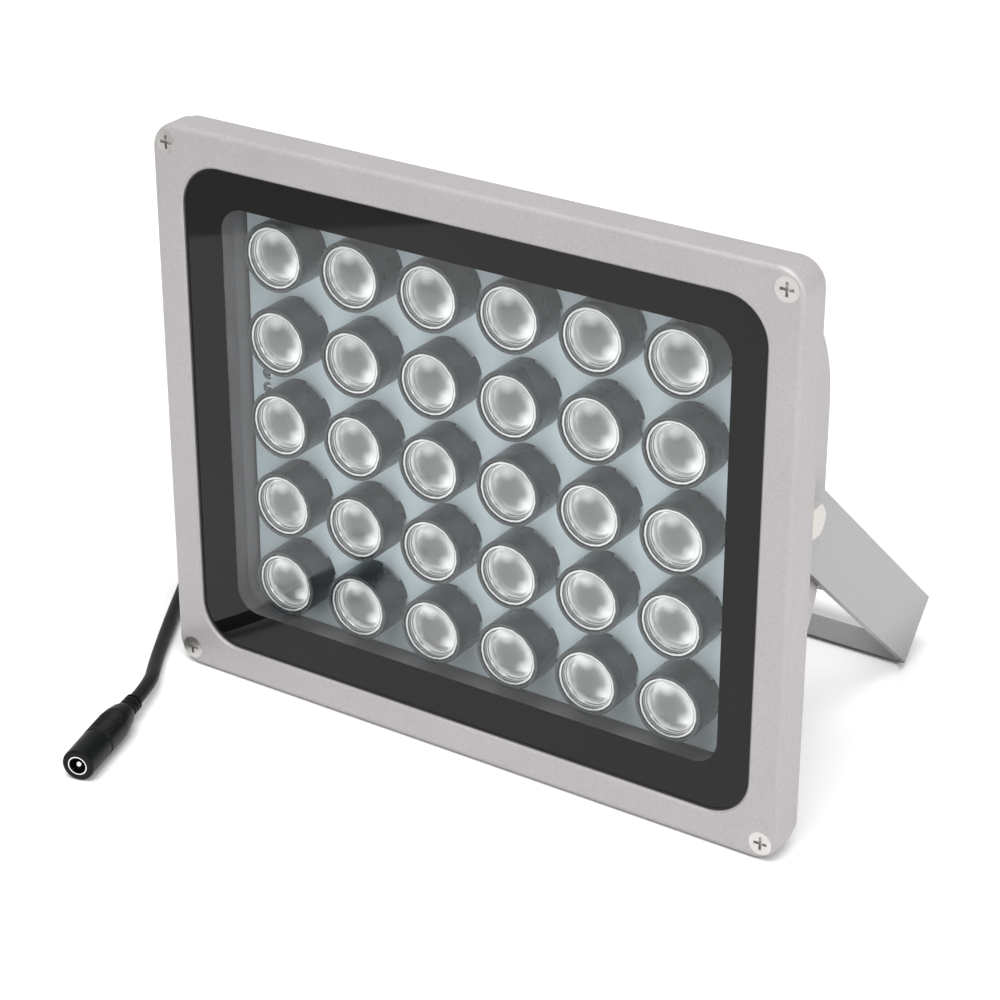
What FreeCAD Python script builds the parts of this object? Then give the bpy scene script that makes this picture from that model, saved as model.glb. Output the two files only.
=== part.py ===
import FreeCAD, Part
import math
import os
from FreeCAD import Placement, Rotation, Vector

# Infrared illuminator with thirty emitters behind a printed cover glass, standing on the lower
# edge of its bezel with its U bracket folded back as a rear leg.
# While it is modelled, x runs across the lamp, y from the front face to the back,
# and z up from the middle of the front. All sizes are millimetres.

# Bezel
bezel_width = 225.0
bezel_height = 187.6
bezel_depth = 9.6
bezel_corner_radius = 9.0
bezel_edge_round = 2.0
bezel_lip = 1.5
bezel_border_side = 10.8
bezel_border_top = 11.1
opening_corner_radius = 14.3
opening_chamfer = 0.6

# Cover glass and its gasket
glass_lap = 2.5
glass_thickness = 3.0
gasket_behind = 1.2
gasket_side = 0.9
gasket_inset = 4.0
gasket_play = 0.2

# Bezel screws
screw_inset_side = 5.8
screw_inset_top = 6.1
screw_shank_radius = 1.9
screw_head_radius = 3.8
screw_head_depth = 2.0
screw_length = 12.8
screw_hole_play = 0.3
thread_play = 0.05
recess_half_length = 2.2
recess_width = 0.9
recess_depth = 1.3

# Rear housing: flange, tray and shelf
flange_inset = 0.8
flange_thickness = 3.6
rim_play = 0.4
wall = 2.5
cavity_inset_side = 10.7
cavity_inset_top = 8.1
cavity_corner_radius = 9.0
shelf_width = 4.0
tray_floor = 3.0
tray_depth = 34.5
tray_rear_chamfer = 2.0
post_radius = 4.0

# Rear housing: cooling fins with an arched back
fin_depth = 32.0
fin_flat_half_height = 25.0
fin_arch_radius = 48.0
fin_inset = 5.0
fin_thickness = 2.4
end_fin_thickness = 4.0
fin_count = 15

# Pivot
pivot_behind_tray = 12.5
pivot_height = -4.5
pivot_boss_radius = 9.0
pivot_boss_length = 12.0
pivot_bolt_radius = 3.0
pivot_play = 0.08
pivot_bolt_grip = 11.0
bolt_head_across = 10.0
bolt_head_height = 3.4
bolt_head_chamfer = 0.5
spring_washer_radius = 5.6
spring_washer_thickness = 1.2
spring_washer_gap = 1.2
friction_washer_radius = 8.6
friction_washer_thickness = 0.7

# Bracket
bracket_thickness = 2.5
bracket_width = 23.4
bracket_reach = 121.0
bracket_bend_radius = 2.5
base_centre_hole_radius = 4.5
base_slot_width = 9.0
base_slot_inner_end = 40.0
base_slot_outer_end = 81.0

# Emitter board, emitters, lens holders and lenses
board_thickness = 1.6
board_play = 0.5
column_count = 6
row_count = 5
array_margin_side = 8.7
array_margin_top = 7.4
emitter_side = 7.2
emitter_base = 1.0
emitter_window_side = 4.4
emitter_window_rise = 0.6
holder_radius = 11.2
holder_before_rim = 0.6
holder_height = 12.4
holder_wall = 1.1
lens_play = 0.1
lens_set_back = 0.3
lens_flange_thickness = 2.4
lens_cone_depth = 7.4
lens_cone_radius = 4.6

# Driver board
driver_width = 74.0
driver_height = 44.0
driver_thickness = 1.6
driver_from_side = 0.8
driver_centre_z = 8.0
driver_standoff = 3.0
driver_post_radius = 3.2
driver_post_inset = 4.0
driver_screw_radius = 1.5
driver_screw_head_radius = 2.8
driver_screw_head_height = 1.8
inductor_side = 12.0
inductor_height = 6.0
inductor_corner = 2.0
capacitor_radius = 4.0
capacitor_height = 6.5
chip_width = 6.2
chip_length = 5.0
chip_height = 1.6
led_lead_radius = 0.9
led_lead_spacing = 5.0
led_lead_from_edge = 5.9
led_lead_height = 7.5
led_lead_hole_play = 0.2
led_lead_tail = 0.8

# Cable gland
gland_before_tray = 8.0
gland_height = -30.0
gland_thread_radius = 6.0
gland_thread_play = 0.05
gland_hex_across = 15.5
gland_flange_thickness = 4.5
gland_seal_radius = 7.6
gland_seal_thickness = 1.0
gland_neck_length = 6.5
gland_nut_gap = 0.3
gland_nut_length = 12.0
gland_nut_chamfer = 2.0
gland_nut_nose = 2.5
gland_bush_radius = 4.4
gland_bush_depth = 14.0

# Power cable and the socket on its end
cable_diameter = 4.6
cable_play = 0.1
cable_inside_length = 34.0
supply_lead_radius = 0.8
supply_lead_spacing = 2.2
supply_lead_from_side = 16.0
supply_lead_overlap = 2.5
supply_lead_play = 0.1
plug_heading_x = 0.261
plug_heading_y = -0.965
plug_body_radius = 5.2
plug_grip_radius = 5.3
plug_waist_radius = 3.5
plug_front_length = 17.0
plug_grip_length = 10.0
plug_taper_length = 7.0
plug_relief_length = 7.0
plug_relief_ribs = 3
plug_relief_wall = 0.7
plug_edge = 0.6
socket_bore_radius = 2.8
socket_sleeve_wall = 0.35
socket_depth = 9.5
socket_pin_radius = 1.0
socket_pin_set_back = 0.5

# Sizes that follow from the ones above
half_width = bezel_width / 2
half_height = bezel_height / 2
opening_half_width = half_width - bezel_border_side
opening_half_height = half_height - bezel_border_top
screw_half_spacing_x = half_width - screw_inset_side
screw_half_spacing_z = half_height - screw_inset_top
glass_half_width = opening_half_width + glass_lap
glass_half_height = opening_half_height + glass_lap
glass_corner_radius = opening_corner_radius + glass_lap
glass_rear = bezel_lip + glass_thickness
pocket_half_width = glass_half_width + gasket_side + gasket_play
pocket_half_height = glass_half_height + gasket_side + gasket_play
pocket_corner_radius = glass_corner_radius + gasket_side + gasket_play
cavity_half_width = opening_half_width - cavity_inset_side
cavity_half_height = opening_half_height - cavity_inset_top
rim_front = glass_rear + gasket_behind
flange_rear = bezel_depth + flange_thickness
tray_overlap = bezel_depth + flange_thickness / 2
floor_front = tray_depth - tray_floor
fin_rear = tray_depth + fin_depth
fin_arch_centre = fin_rear - fin_arch_radius
side_face_x = cavity_half_width + wall - fin_inset
holder_front = rim_front - holder_before_rim
board_front = holder_front + holder_height
board_rear = board_front + board_thickness
holder_bore_radius = holder_radius - holder_wall
lens_radius = holder_bore_radius - lens_play
lens_front = holder_front + lens_set_back
column_pitch = 2 * (cavity_half_width - array_margin_side - holder_radius) / (column_count - 1)
row_pitch = 2 * (cavity_half_height - array_margin_top - holder_radius) / (row_count - 1)
pivot_depth = tray_depth + pivot_behind_tray
arm_inner_x = side_face_x + friction_washer_thickness
arm_outer_x = arm_inner_x + bracket_thickness
bracket_half_width = bracket_width / 2
rest_tilt = math.degrees(
    math.atan2(bracket_half_width, bracket_reach)
    + math.acos((half_height + pivot_height) / math.hypot(bracket_reach, bracket_half_width))
)
rear_reach = bracket_reach * math.sin(math.radians(rest_tilt))
rear_corner = bracket_half_width * math.cos(math.radians(rest_tilt))
overall_depth = pivot_depth + rear_reach + rear_corner
driver_rear = floor_front - driver_standoff
driver_front = driver_rear - driver_thickness
driver_left = -(cavity_half_width - shelf_width - driver_from_side)
driver_centre_x = driver_left + driver_width / 2
gland_depth = tray_depth - gland_before_tray
gland_wall_x = -(cavity_half_width + wall)
gland_inner_x = -(cavity_half_width - shelf_width)
gland_flange_x = gland_wall_x - gland_seal_thickness
gland_neck_x = gland_flange_x - gland_flange_thickness
gland_neck_end_x = gland_neck_x - gland_neck_length
gland_nut_x = gland_neck_x - gland_nut_gap
gland_exit_x = gland_nut_x - gland_nut_length
gland_bush_end_x = gland_exit_x + gland_nut_nose
cable_radius = cable_diameter / 2
plug_heading = Vector(plug_heading_x, plug_heading_y, 0).normalize()
plug_rear = Vector(-100.7, -37.4, plug_grip_radius - half_height)
plug_length = plug_relief_length + plug_taper_length + plug_grip_length + plug_front_length
to_row_frame = Vector(0, -overall_depth / 2, half_height)


def rounded_outline(half_x, half_z, radius, y):
    """Closed wire of a rounded rectangle standing at depth y."""
    r = radius
    k = r * (1 - math.sqrt(0.5))
    corners = (
        (Vector(half_x - r, y, half_z), Vector(half_x - k, y, half_z - k), Vector(half_x, y, half_z - r)),
        (Vector(half_x, y, r - half_z), Vector(half_x - k, y, k - half_z), Vector(half_x - r, y, -half_z)),
        (Vector(r - half_x, y, -half_z), Vector(k - half_x, y, k - half_z), Vector(-half_x, y, r - half_z)),
        (Vector(-half_x, y, half_z - r), Vector(k - half_x, y, half_z - k), Vector(r - half_x, y, half_z)),
    )
    edges = []
    for index, (start, middle, end) in enumerate(corners):
        edges.append(Part.Arc(start, middle, end).toShape())
        following = corners[(index + 1) % len(corners)][0]
        edges.append(Part.LineSegment(end, following).toShape())
    return Part.Wire(edges)


def rounded_plate(half_x, half_z, radius, front, rear):
    """Solid rounded rectangle between two depths."""
    face = Part.Face(rounded_outline(half_x, half_z, radius, front))
    return face.extrude(Vector(0, rear - front, 0))


def block(x0, x1, y0, y1, z0, z1):
    """Box between two corners."""
    return Part.makeBox(x1 - x0, y1 - y0, z1 - z0, Vector(x0, y0, z0))


def disc_y(x, z, radius, front, rear):
    """Cylinder running front to back."""
    return Part.makeCylinder(radius, rear - front, Vector(x, front, z), Vector(0, 1, 0))


def cone_y(x, z, radius_front, radius_rear, front, rear):
    """Cone running front to back."""
    return Part.makeCone(radius_front, radius_rear, rear - front, Vector(x, front, z), Vector(0, 1, 0))


def disc_x(y, z, radius, x0, x1):
    """Cylinder running across the lamp, between x0 and x1 in either order."""
    return Part.makeCylinder(radius, abs(x1 - x0), Vector(min(x0, x1), y, z), Vector(1, 0, 0))


def hexagon_x(y, z, across_flats, x0, x1):
    """Hexagonal prism running across the lamp, from x0 to x1."""
    radius = across_flats / 2 / math.cos(math.pi / 6)
    points = []
    for corner in range(7):
        angle = math.pi / 3 * corner
        points.append(Vector(x0, y + radius * math.cos(angle), z + radius * math.sin(angle)))
    return Part.Face(Part.makePolygon(points)).extrude(Vector(x1 - x0, 0, 0))


def chamfered_hexagon_x(y, z, across_flats, x0, x1, chamfer):
    """Hexagonal prism whose corners are turned off round the end at x1."""
    radius = across_flats / 2 / math.cos(math.pi / 6)
    turned = disc_x(y, z, radius, x0, x1)
    rim = [edge for edge in turned.Edges if edge.Closed and abs(edge.CenterOfMass.x - x1) < 1e-6]
    return hexagon_x(y, z, across_flats, x0, x1).common(turned.makeChamfer(chamfer, rim))


def edges_at_depth(solid, depth):
    """Edges that lie wholly at one depth."""
    boxes = [(edge, edge.BoundBox) for edge in solid.Edges]
    return [edge for edge, box in boxes if abs(box.YMin - depth) < 1e-6 and abs(box.YMax - depth) < 1e-6]


def screw_places():
    """Centres of the four bezel screws."""
    return [(sx * screw_half_spacing_x, sz * screw_half_spacing_z) for sz in (1, -1) for sx in (-1, 1)]


def column_places():
    """Centre of each column of lenses."""
    return [(column - (column_count - 1) / 2) * column_pitch for column in range(column_count)]


def row_place(row):
    """Height of a row of lenses, with row 0 at the top."""
    return ((row_count - 1) / 2 - row) * row_pitch


def save(name, solids):
    """Move finished solids into the row frame and write them as one file."""
    moved = []
    for solid in solids:
        copy = solid.copy()
        copy.translate(to_row_frame)
        moved.append(copy)
    shape = moved[0] if len(moved) == 1 else Part.makeCompound(moved)
    shape.exportStep("parts/" + name + ".step")


# Front
def make_bezel():
    """Cast frame with a lip over the glass and a pocket behind it."""
    frame = rounded_plate(half_width, half_height, bezel_corner_radius, 0, bezel_depth)
    frame = frame.makeFillet(bezel_edge_round, edges_at_depth(frame, 0))
    opening = rounded_plate(
        opening_half_width, opening_half_height, opening_corner_radius, -1, bezel_depth
    )
    frame = frame.cut(opening)
    inner = [
        edge for edge in edges_at_depth(frame, 0)
        if abs(edge.CenterOfMass.x) < opening_half_width + 1e-6
        and abs(edge.CenterOfMass.z) < opening_half_height + 1e-6
    ]
    frame = frame.makeChamfer(opening_chamfer, inner)
    pocket = rounded_plate(
        pocket_half_width, pocket_half_height, pocket_corner_radius, bezel_lip, bezel_depth + 1
    )
    frame = frame.cut(pocket)
    hole_radius = screw_shank_radius + screw_hole_play
    slope = screw_head_depth / (screw_head_radius - screw_shank_radius)
    sink_depth = slope * (screw_head_radius - hole_radius)
    for x, z in screw_places():
        frame = frame.cut(disc_y(x, z, hole_radius, -1, bezel_depth + 1))
        frame = frame.cut(cone_y(x, z, screw_head_radius, hole_radius, 0, sink_depth))
    return frame


def make_glass():
    """Flat window under the lip of the bezel."""
    return rounded_plate(
        glass_half_width, glass_half_height, glass_corner_radius, bezel_lip, glass_rear
    )


def make_gasket():
    """Rubber ring with an L section round the edge of the glass."""
    ring = rounded_plate(
        glass_half_width + gasket_side,
        glass_half_height + gasket_side,
        glass_corner_radius + gasket_side,
        bezel_lip,
        rim_front,
    )
    window = rounded_plate(
        cavity_half_width + gasket_inset,
        cavity_half_height + gasket_inset,
        cavity_corner_radius + gasket_inset,
        bezel_lip,
        rim_front,
    )
    return ring.cut(make_glass()).cut(window)


def make_bezel_screw(x, z):
    """Countersunk screw with a cross recess."""
    head = cone_y(x, z, screw_head_radius, screw_shank_radius, 0, screw_head_depth)
    screw = head.fuse(disc_y(x, z, screw_shank_radius, screw_head_depth, screw_length))
    half = recess_width / 2
    reach = recess_half_length
    screw = screw.cut(block(x - reach, x + reach, -1, recess_depth, z - half, z + half))
    return screw.cut(block(x - half, x + half, -1, recess_depth, z - reach, z + reach))


# Cooling fins on the back of the tray
def make_fin(x, thickness):
    """Cooling fin: flat at the back, with a long round towards its top and its bottom."""
    angle = math.acos((tray_depth - fin_arch_centre) / fin_arch_radius)
    foot = fin_flat_half_height + fin_arch_radius * math.sin(angle)
    middle_z = fin_flat_half_height + fin_arch_radius * math.sin(angle / 2)
    middle_y = fin_arch_centre + fin_arch_radius * math.cos(angle / 2)
    low_root = Vector(x, tray_depth, -foot)
    high_root = Vector(x, tray_depth, foot)
    high_back = Vector(x, fin_rear, fin_flat_half_height)
    low_back = Vector(x, fin_rear, -fin_flat_half_height)
    outline = Part.Wire([
        Part.LineSegment(low_root, high_root).toShape(),
        Part.Arc(high_root, Vector(x, middle_y, middle_z), high_back).toShape(),
        Part.LineSegment(high_back, low_back).toShape(),
        Part.Arc(low_back, Vector(x, middle_y, -middle_z), low_root).toShape(),
    ])
    return Part.Face(outline).extrude(Vector(thickness, 0, 0))


def make_inner_fins():
    """Thin fins, evenly spaced between the two end fins."""
    first = side_face_x - end_fin_thickness / 2
    pitch = 2 * first / (fin_count - 1)
    return [
        make_fin(index * pitch - first - fin_thickness / 2, fin_thickness)
        for index in range(1, fin_count - 1)
    ]


def make_end_fin(side):
    """Thick outer fin with a threaded boss on its inner face for the pivot bolt."""
    inner_face = side * (side_face_x - end_fin_thickness)
    fin = make_fin(min(side * side_face_x, inner_face), end_fin_thickness)
    boss_end = side * (side_face_x - pivot_boss_length)
    fin = fin.fuse(disc_x(pivot_depth, pivot_height, pivot_boss_radius, inner_face, boss_end))
    thread_radius = pivot_bolt_radius + thread_play
    return fin.cut(disc_x(pivot_depth, pivot_height, thread_radius, side * side_face_x, boss_end))


# Rear housing
def housing_outside():
    """Flange, raised rim and tray."""
    flange = rounded_plate(
        half_width - flange_inset,
        half_height - flange_inset,
        bezel_corner_radius - flange_inset,
        bezel_depth,
        flange_rear,
    )
    rim = rounded_plate(
        pocket_half_width - rim_play,
        pocket_half_height - rim_play,
        pocket_corner_radius - rim_play,
        rim_front,
        tray_overlap,
    )
    tray = rounded_plate(
        cavity_half_width + wall,
        cavity_half_height + wall,
        cavity_corner_radius + wall,
        tray_overlap,
        tray_depth,
    )
    tray = tray.makeChamfer(tray_rear_chamfer, edges_at_depth(tray, tray_depth))
    return flange.fuse([rim, tray])


def board_posts():
    """Posts on the floor that carry the emitter board and the driver board."""
    posts = []
    for sx in (-1, 1):
        for sz in (-1, 1):
            posts.append(disc_y(
                sx * 2 * column_pitch, sz * 1.5 * row_pitch, post_radius, board_rear, floor_front + 1
            ))
    for x, z in driver_screw_places():
        posts.append(disc_y(x, z, driver_post_radius, driver_rear, floor_front + 1))
    return posts


def make_housing():
    """Flange and tray, hollow from the front, with posts for the two boards."""
    body = housing_outside()
    body = body.cut(rounded_plate(
        cavity_half_width, cavity_half_height, cavity_corner_radius, 0, board_rear
    ))
    body = body.cut(rounded_plate(
        cavity_half_width - shelf_width,
        cavity_half_height - shelf_width,
        cavity_corner_radius - shelf_width,
        0,
        floor_front,
    ))
    body = body.fuse(board_posts())
    for x, z in screw_places():
        body = body.cut(disc_y(x, z, screw_shank_radius + thread_play, 0, screw_length + 1))
    for x, z in driver_screw_places():
        body = body.cut(disc_y(
            x, z, driver_screw_radius + thread_play, driver_front, floor_front + 1
        ))
    body = body.cut(disc_x(
        gland_depth, gland_height, gland_thread_radius + gland_thread_play,
        gland_wall_x - 1, gland_inner_x + 1,
    ))
    return body.removeSplitter()


# Emitter board and optics
def led_lead_places():
    """Where the two leads pass through the emitter board."""
    x = led_lead_from_edge - (cavity_half_width - board_play)
    half = led_lead_spacing / 2
    return [(x, led_lead_height + half), (x, led_lead_height - half)]


def make_led_board():
    """Metal-backed board that fills the cavity and lies on the housing's shelf."""
    board = rounded_plate(
        cavity_half_width - board_play,
        cavity_half_height - board_play,
        cavity_corner_radius - board_play,
        board_front,
        board_rear,
    )
    for x, z in led_lead_places():
        board = board.cut(disc_y(
            x, z, led_lead_radius + led_lead_hole_play, board_front - 1, board_rear + 1
        ))
    return board


def make_emitter(x, z):
    """Square package with a raised square window."""
    half = emitter_side / 2
    top = board_front - emitter_base
    base = block(x - half, x + half, top, board_front, z - half, z + half)
    half = emitter_window_side / 2
    window = block(x - half, x + half, top - emitter_window_rise, top, z - half, z + half)
    return base.fuse(window)


def make_holder(x, z):
    """Tube that stands on the board and holds one lens at its front."""
    barrel = disc_y(x, z, holder_radius, holder_front, board_front)
    return barrel.cut(disc_y(x, z, holder_bore_radius, holder_front, board_front))


def make_lens(x, z):
    """Collimating lens: a flange that seats in the holder and a cone towards the emitter."""
    flange_rear_y = lens_front + lens_flange_thickness
    flange = disc_y(x, z, lens_radius, lens_front, flange_rear_y)
    cone = cone_y(
        x, z, lens_radius, lens_cone_radius, flange_rear_y, flange_rear_y + lens_cone_depth
    )
    return flange.fuse(cone)


# Driver board behind the emitter board
def driver_screw_places():
    """Centres of the two driver board screws, on opposite corners."""
    half_x = driver_width / 2 - driver_post_inset
    half_z = driver_height / 2 - driver_post_inset
    return [
        (driver_centre_x - half_x, driver_centre_z + half_z),
        (driver_centre_x + half_x, driver_centre_z - half_z),
    ]


def make_driver_board():
    half_x = driver_width / 2
    half_z = driver_height / 2
    board = block(
        driver_centre_x - half_x,
        driver_centre_x + half_x,
        driver_front,
        driver_rear,
        driver_centre_z - half_z,
        driver_centre_z + half_z,
    )
    for x, z in driver_screw_places():
        board = board.cut(disc_y(
            x, z, driver_screw_radius + screw_hole_play, driver_front, driver_rear
        ))
    return board


def make_driver_screw(x, z):
    head = disc_y(x, z, driver_screw_head_radius, driver_front - driver_screw_head_height, driver_front)
    return head.fuse(disc_y(x, z, driver_screw_radius, driver_front, floor_front))


def make_inductor():
    """Square shielded inductor with its corners taken off."""
    half = inductor_side / 2
    x = driver_centre_x + driver_width / 5
    body = block(
        x - half, x + half, driver_front - inductor_height, driver_front,
        driver_centre_z - half, driver_centre_z + half,
    )
    uprights = [edge for edge in body.Edges if edge.BoundBox.YLength > inductor_height / 2]
    return body.makeChamfer(inductor_corner, uprights)


def make_capacitor(side):
    x = driver_centre_x - driver_width / 4
    z = driver_centre_z + side * driver_height / 5
    return disc_y(x, z, capacitor_radius, driver_front - capacitor_height, driver_front)


def make_chip(side):
    x = driver_centre_x
    z = driver_centre_z + side * driver_height / 4
    half_x = chip_width / 2
    half_z = chip_length / 2
    return block(x - half_x, x + half_x, driver_front - chip_height, driver_front, z - half_z, z + half_z)


def make_led_lead(x, z):
    """Straight lead from the driver board through the emitter board."""
    return disc_y(x, z, led_lead_radius, board_front - led_lead_tail, driver_front)


def make_supply_lead(side):
    """Lead from the end of the cable's jacket to the driver board."""
    start = Vector(
        gland_exit_x + cable_inside_length + supply_lead_spacing, gland_depth, gland_height
    )
    end = Vector(
        driver_left + supply_lead_from_side,
        driver_front - supply_lead_radius - supply_lead_play,
        driver_centre_z - driver_height / 2 + supply_lead_overlap,
    )
    apart = (end - start).cross(Vector(0, 1, 0)).normalize() * (side * supply_lead_spacing / 2)
    return Part.makeCylinder(supply_lead_radius, (end - start).Length, start + apart, end - start)


# Pivot hardware, the same on both sides
def make_pivot_bolt(side):
    """Hexagon bolt that clamps one arm of the bracket."""
    under_head = side * (arm_outer_x + spring_washer_thickness)
    outer = under_head + side * bolt_head_height
    head = chamfered_hexagon_x(
        pivot_depth, pivot_height, bolt_head_across, under_head, outer, bolt_head_chamfer
    )
    tip = side * (side_face_x - pivot_bolt_grip)
    return head.fuse(disc_x(pivot_depth, pivot_height, pivot_bolt_radius, under_head, tip))


def ring_x(outer_radius, x0, x1):
    """Washer round the pivot bolt."""
    disc = disc_x(pivot_depth, pivot_height, outer_radius, x0, x1)
    return disc.cut(disc_x(pivot_depth, pivot_height, pivot_bolt_radius + pivot_play, x0, x1))


def make_spring_washer(side):
    """Split ring under the bolt's head."""
    ring = ring_x(spring_washer_radius, side * arm_outer_x, side * (arm_outer_x + spring_washer_thickness))
    half = spring_washer_gap / 2
    gap = block(
        -half_width,
        half_width,
        pivot_depth - half,
        pivot_depth + half,
        pivot_height,
        pivot_height + 2 * spring_washer_radius,
    )
    return ring.cut(gap)


def make_friction_washer(side):
    """Nylon washer between the housing and the arm."""
    return ring_x(friction_washer_radius, side * side_face_x, side * arm_inner_x)


# Bracket: one strip bent into a U, made hanging straight down from its pivot, then tilted
def u_face(half_x, base, corner, top):
    """Face of a U: two straight sides down to a base with rounded corners."""
    k = corner * (1 - math.sqrt(0.5))
    left_top = Vector(-half_x, 0, top)
    left_low = Vector(-half_x, 0, corner - base)
    left_base = Vector(corner - half_x, 0, -base)
    right_base = Vector(half_x - corner, 0, -base)
    right_low = Vector(half_x, 0, corner - base)
    right_top = Vector(half_x, 0, top)
    return Part.Face(Part.Wire([
        Part.LineSegment(left_top, left_low).toShape(),
        Part.Arc(left_low, Vector(k - half_x, 0, k - base), left_base).toShape(),
        Part.LineSegment(left_base, right_base).toShape(),
        Part.Arc(right_base, Vector(half_x - k, 0, k - base), right_low).toShape(),
        Part.LineSegment(right_low, right_top).toShape(),
        Part.LineSegment(right_top, left_top).toShape(),
    ]))


def base_slot(side):
    """Cutter for the long fixing slot on one side of the bracket's base."""
    half = base_slot_width / 2
    bottom = -bracket_reach
    ends = (side * (base_slot_inner_end + half), side * (base_slot_outer_end - half))
    slot = block(min(ends), max(ends), -half, half, bottom, bottom + bracket_thickness)
    for x in ends:
        slot = slot.fuse(Part.makeCylinder(half, bracket_thickness, Vector(x, 0, bottom), Vector(0, 0, 1)))
    return slot


def make_bracket():
    """Folded strip with round ends at the pivot, and a fixing hole and two slots in its base."""
    half = bracket_half_width
    across = Vector(0, bracket_width, 0)
    outside = u_face(arm_outer_x, bracket_reach, bracket_bend_radius + bracket_thickness, half)
    inside = u_face(arm_inner_x, bracket_reach - bracket_thickness, bracket_bend_radius, half)
    strip = outside.extrude(across).cut(inside.extrude(across))
    strip.translate(Vector(0, -half, 0))
    eye = Part.makeCylinder(half, 2 * arm_outer_x, Vector(-arm_outer_x, 0, 0), Vector(1, 0, 0))
    below = block(-arm_outer_x, arm_outer_x, -half, half, -bracket_reach, 0)
    strip = strip.common(below.fuse(eye))
    bore_radius = pivot_bolt_radius + pivot_play
    strip = strip.cut(Part.makeCylinder(
        bore_radius, 2 * arm_outer_x, Vector(-arm_outer_x, 0, 0), Vector(1, 0, 0)
    ))
    strip = strip.cut(Part.makeCylinder(
        base_centre_hole_radius, bracket_thickness, Vector(0, 0, -bracket_reach), Vector(0, 0, 1)
    ))
    strip = strip.cut(base_slot(-1)).cut(base_slot(1))
    strip.Placement = Placement(
        Vector(0, pivot_depth, pivot_height), Rotation(Vector(1, 0, 0), rest_tilt)
    )
    return strip


# Cable gland on the side wall
def gland_disc(radius, x0, x1):
    """Cylinder on the gland's axis."""
    return disc_x(gland_depth, gland_height, radius, x0, x1)


def make_gland_body():
    """Hexagon with a thread into the wall on one side and a neck for the nut on the other."""
    hexagon = hexagon_x(gland_depth, gland_height, gland_hex_across, gland_flange_x, gland_neck_x)
    thread = gland_disc(gland_thread_radius, gland_inner_x, gland_neck_end_x)
    bore = gland_disc(gland_bush_radius + gland_thread_play, gland_inner_x, gland_neck_end_x)
    return hexagon.fuse(thread).cut(bore)


def make_gland_seal():
    """Rubber washer between the gland and the wall."""
    ring = gland_disc(gland_seal_radius, gland_wall_x, gland_flange_x)
    return ring.cut(gland_disc(gland_thread_radius + gland_thread_play, gland_wall_x, gland_flange_x))


def make_gland_nut():
    """Clamping nut with a tapered nose that the cable leaves through."""
    nut = chamfered_hexagon_x(
        gland_depth, gland_height, gland_hex_across, gland_nut_x, gland_exit_x, gland_nut_chamfer
    )
    thread = gland_disc(gland_thread_radius + gland_thread_play, gland_nut_x, gland_neck_end_x)
    seat = gland_disc(gland_bush_radius + gland_thread_play, gland_neck_end_x, gland_bush_end_x)
    way_out = gland_disc(cable_radius + cable_play, gland_bush_end_x, gland_exit_x)
    return nut.cut(thread).cut(seat).cut(way_out)


def make_gland_bush():
    """Rubber bush that the nut squeezes onto the cable."""
    inner_end = gland_bush_end_x + gland_bush_depth
    bush = gland_disc(gland_bush_radius, gland_bush_end_x, inner_end)
    return bush.cut(gland_disc(cable_radius + cable_play, gland_bush_end_x, inner_end))


# Power cable, from the housing to the socket on its end
def make_inner_cable():
    """Stretch of the cable inside the gland and the housing."""
    return gland_disc(cable_radius, gland_exit_x, gland_exit_x + cable_inside_length)


def cable_route():
    """Points chosen by hand, with the height above the table, ending in the socket."""
    table = -half_height
    return [
        Vector(gland_exit_x, gland_depth, gland_height),
        Vector(gland_exit_x - 12.7, gland_depth, gland_height),
        Vector(-135.7, 32.3, table + 60.0),
        Vector(-144.0, 42.4, table + 48.5),
        Vector(-147.3, 51.1, table + 33.5),
        Vector(-147.1, 53.7, table + 18.5),
        Vector(-145.0, 47.7, table + 7.0),
        Vector(-140.0, 36.1, table + 2.6),
        Vector(-128.9, 15.1, table + 2.4),
        Vector(-113.4, -11.9, table + 2.9),
        plug_rear - plug_heading * 13.0,
        plug_rear,
    ]


def round_route(points):
    """Wire of straight runs joined by tangent arcs, and the radius of each arc."""
    edges = []
    radii = []
    start = points[0]
    for before, corner, after in zip(points, points[1:], points[2:]):
        inward = (before - corner).normalize()
        onward = (after - corner).normalize()
        half_turn = (math.pi - inward.getAngle(onward)) / 2
        cut_back = 0.45 * min((corner - before).Length, (after - corner).Length)
        radius = cut_back / math.tan(half_turn)
        arc_start = corner + inward * cut_back
        arc_end = corner + onward * cut_back
        bisector = (inward + onward).normalize()
        arc_middle = corner + bisector * (math.hypot(radius, cut_back) - radius)
        edges.append(Part.LineSegment(start, arc_start).toShape())
        edges.append(Part.Arc(arc_start, arc_middle, arc_end).toShape())
        radii.append(radius)
        start = arc_end
    edges.append(Part.LineSegment(start, points[-1]).toShape())
    return Part.Wire(edges), radii


def make_cable():
    """Free stretch of the cable, from the gland round to the socket."""
    points = cable_route()
    wire, radii = round_route(points)
    section = Part.Wire(Part.makeCircle(cable_radius, points[0], points[1] - points[0]))
    solid = wire.makePipeShell([section], True, False)
    ratio = solid.Volume / (math.pi * cable_radius ** 2 * wire.Length)
    print("cable length", round(wire.Length, 1), "arc radii", [round(radius, 1) for radius in radii])
    print("cable volume over section times length", round(ratio, 4))
    return solid


def along_plug(shape):
    """Place a shape made along z onto the socket's axis, with z = 0 at its rear face."""
    placed = shape.copy()
    placed.Placement = Placement(plug_rear, Rotation(Vector(0, 0, 1), plug_heading))
    return placed


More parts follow.
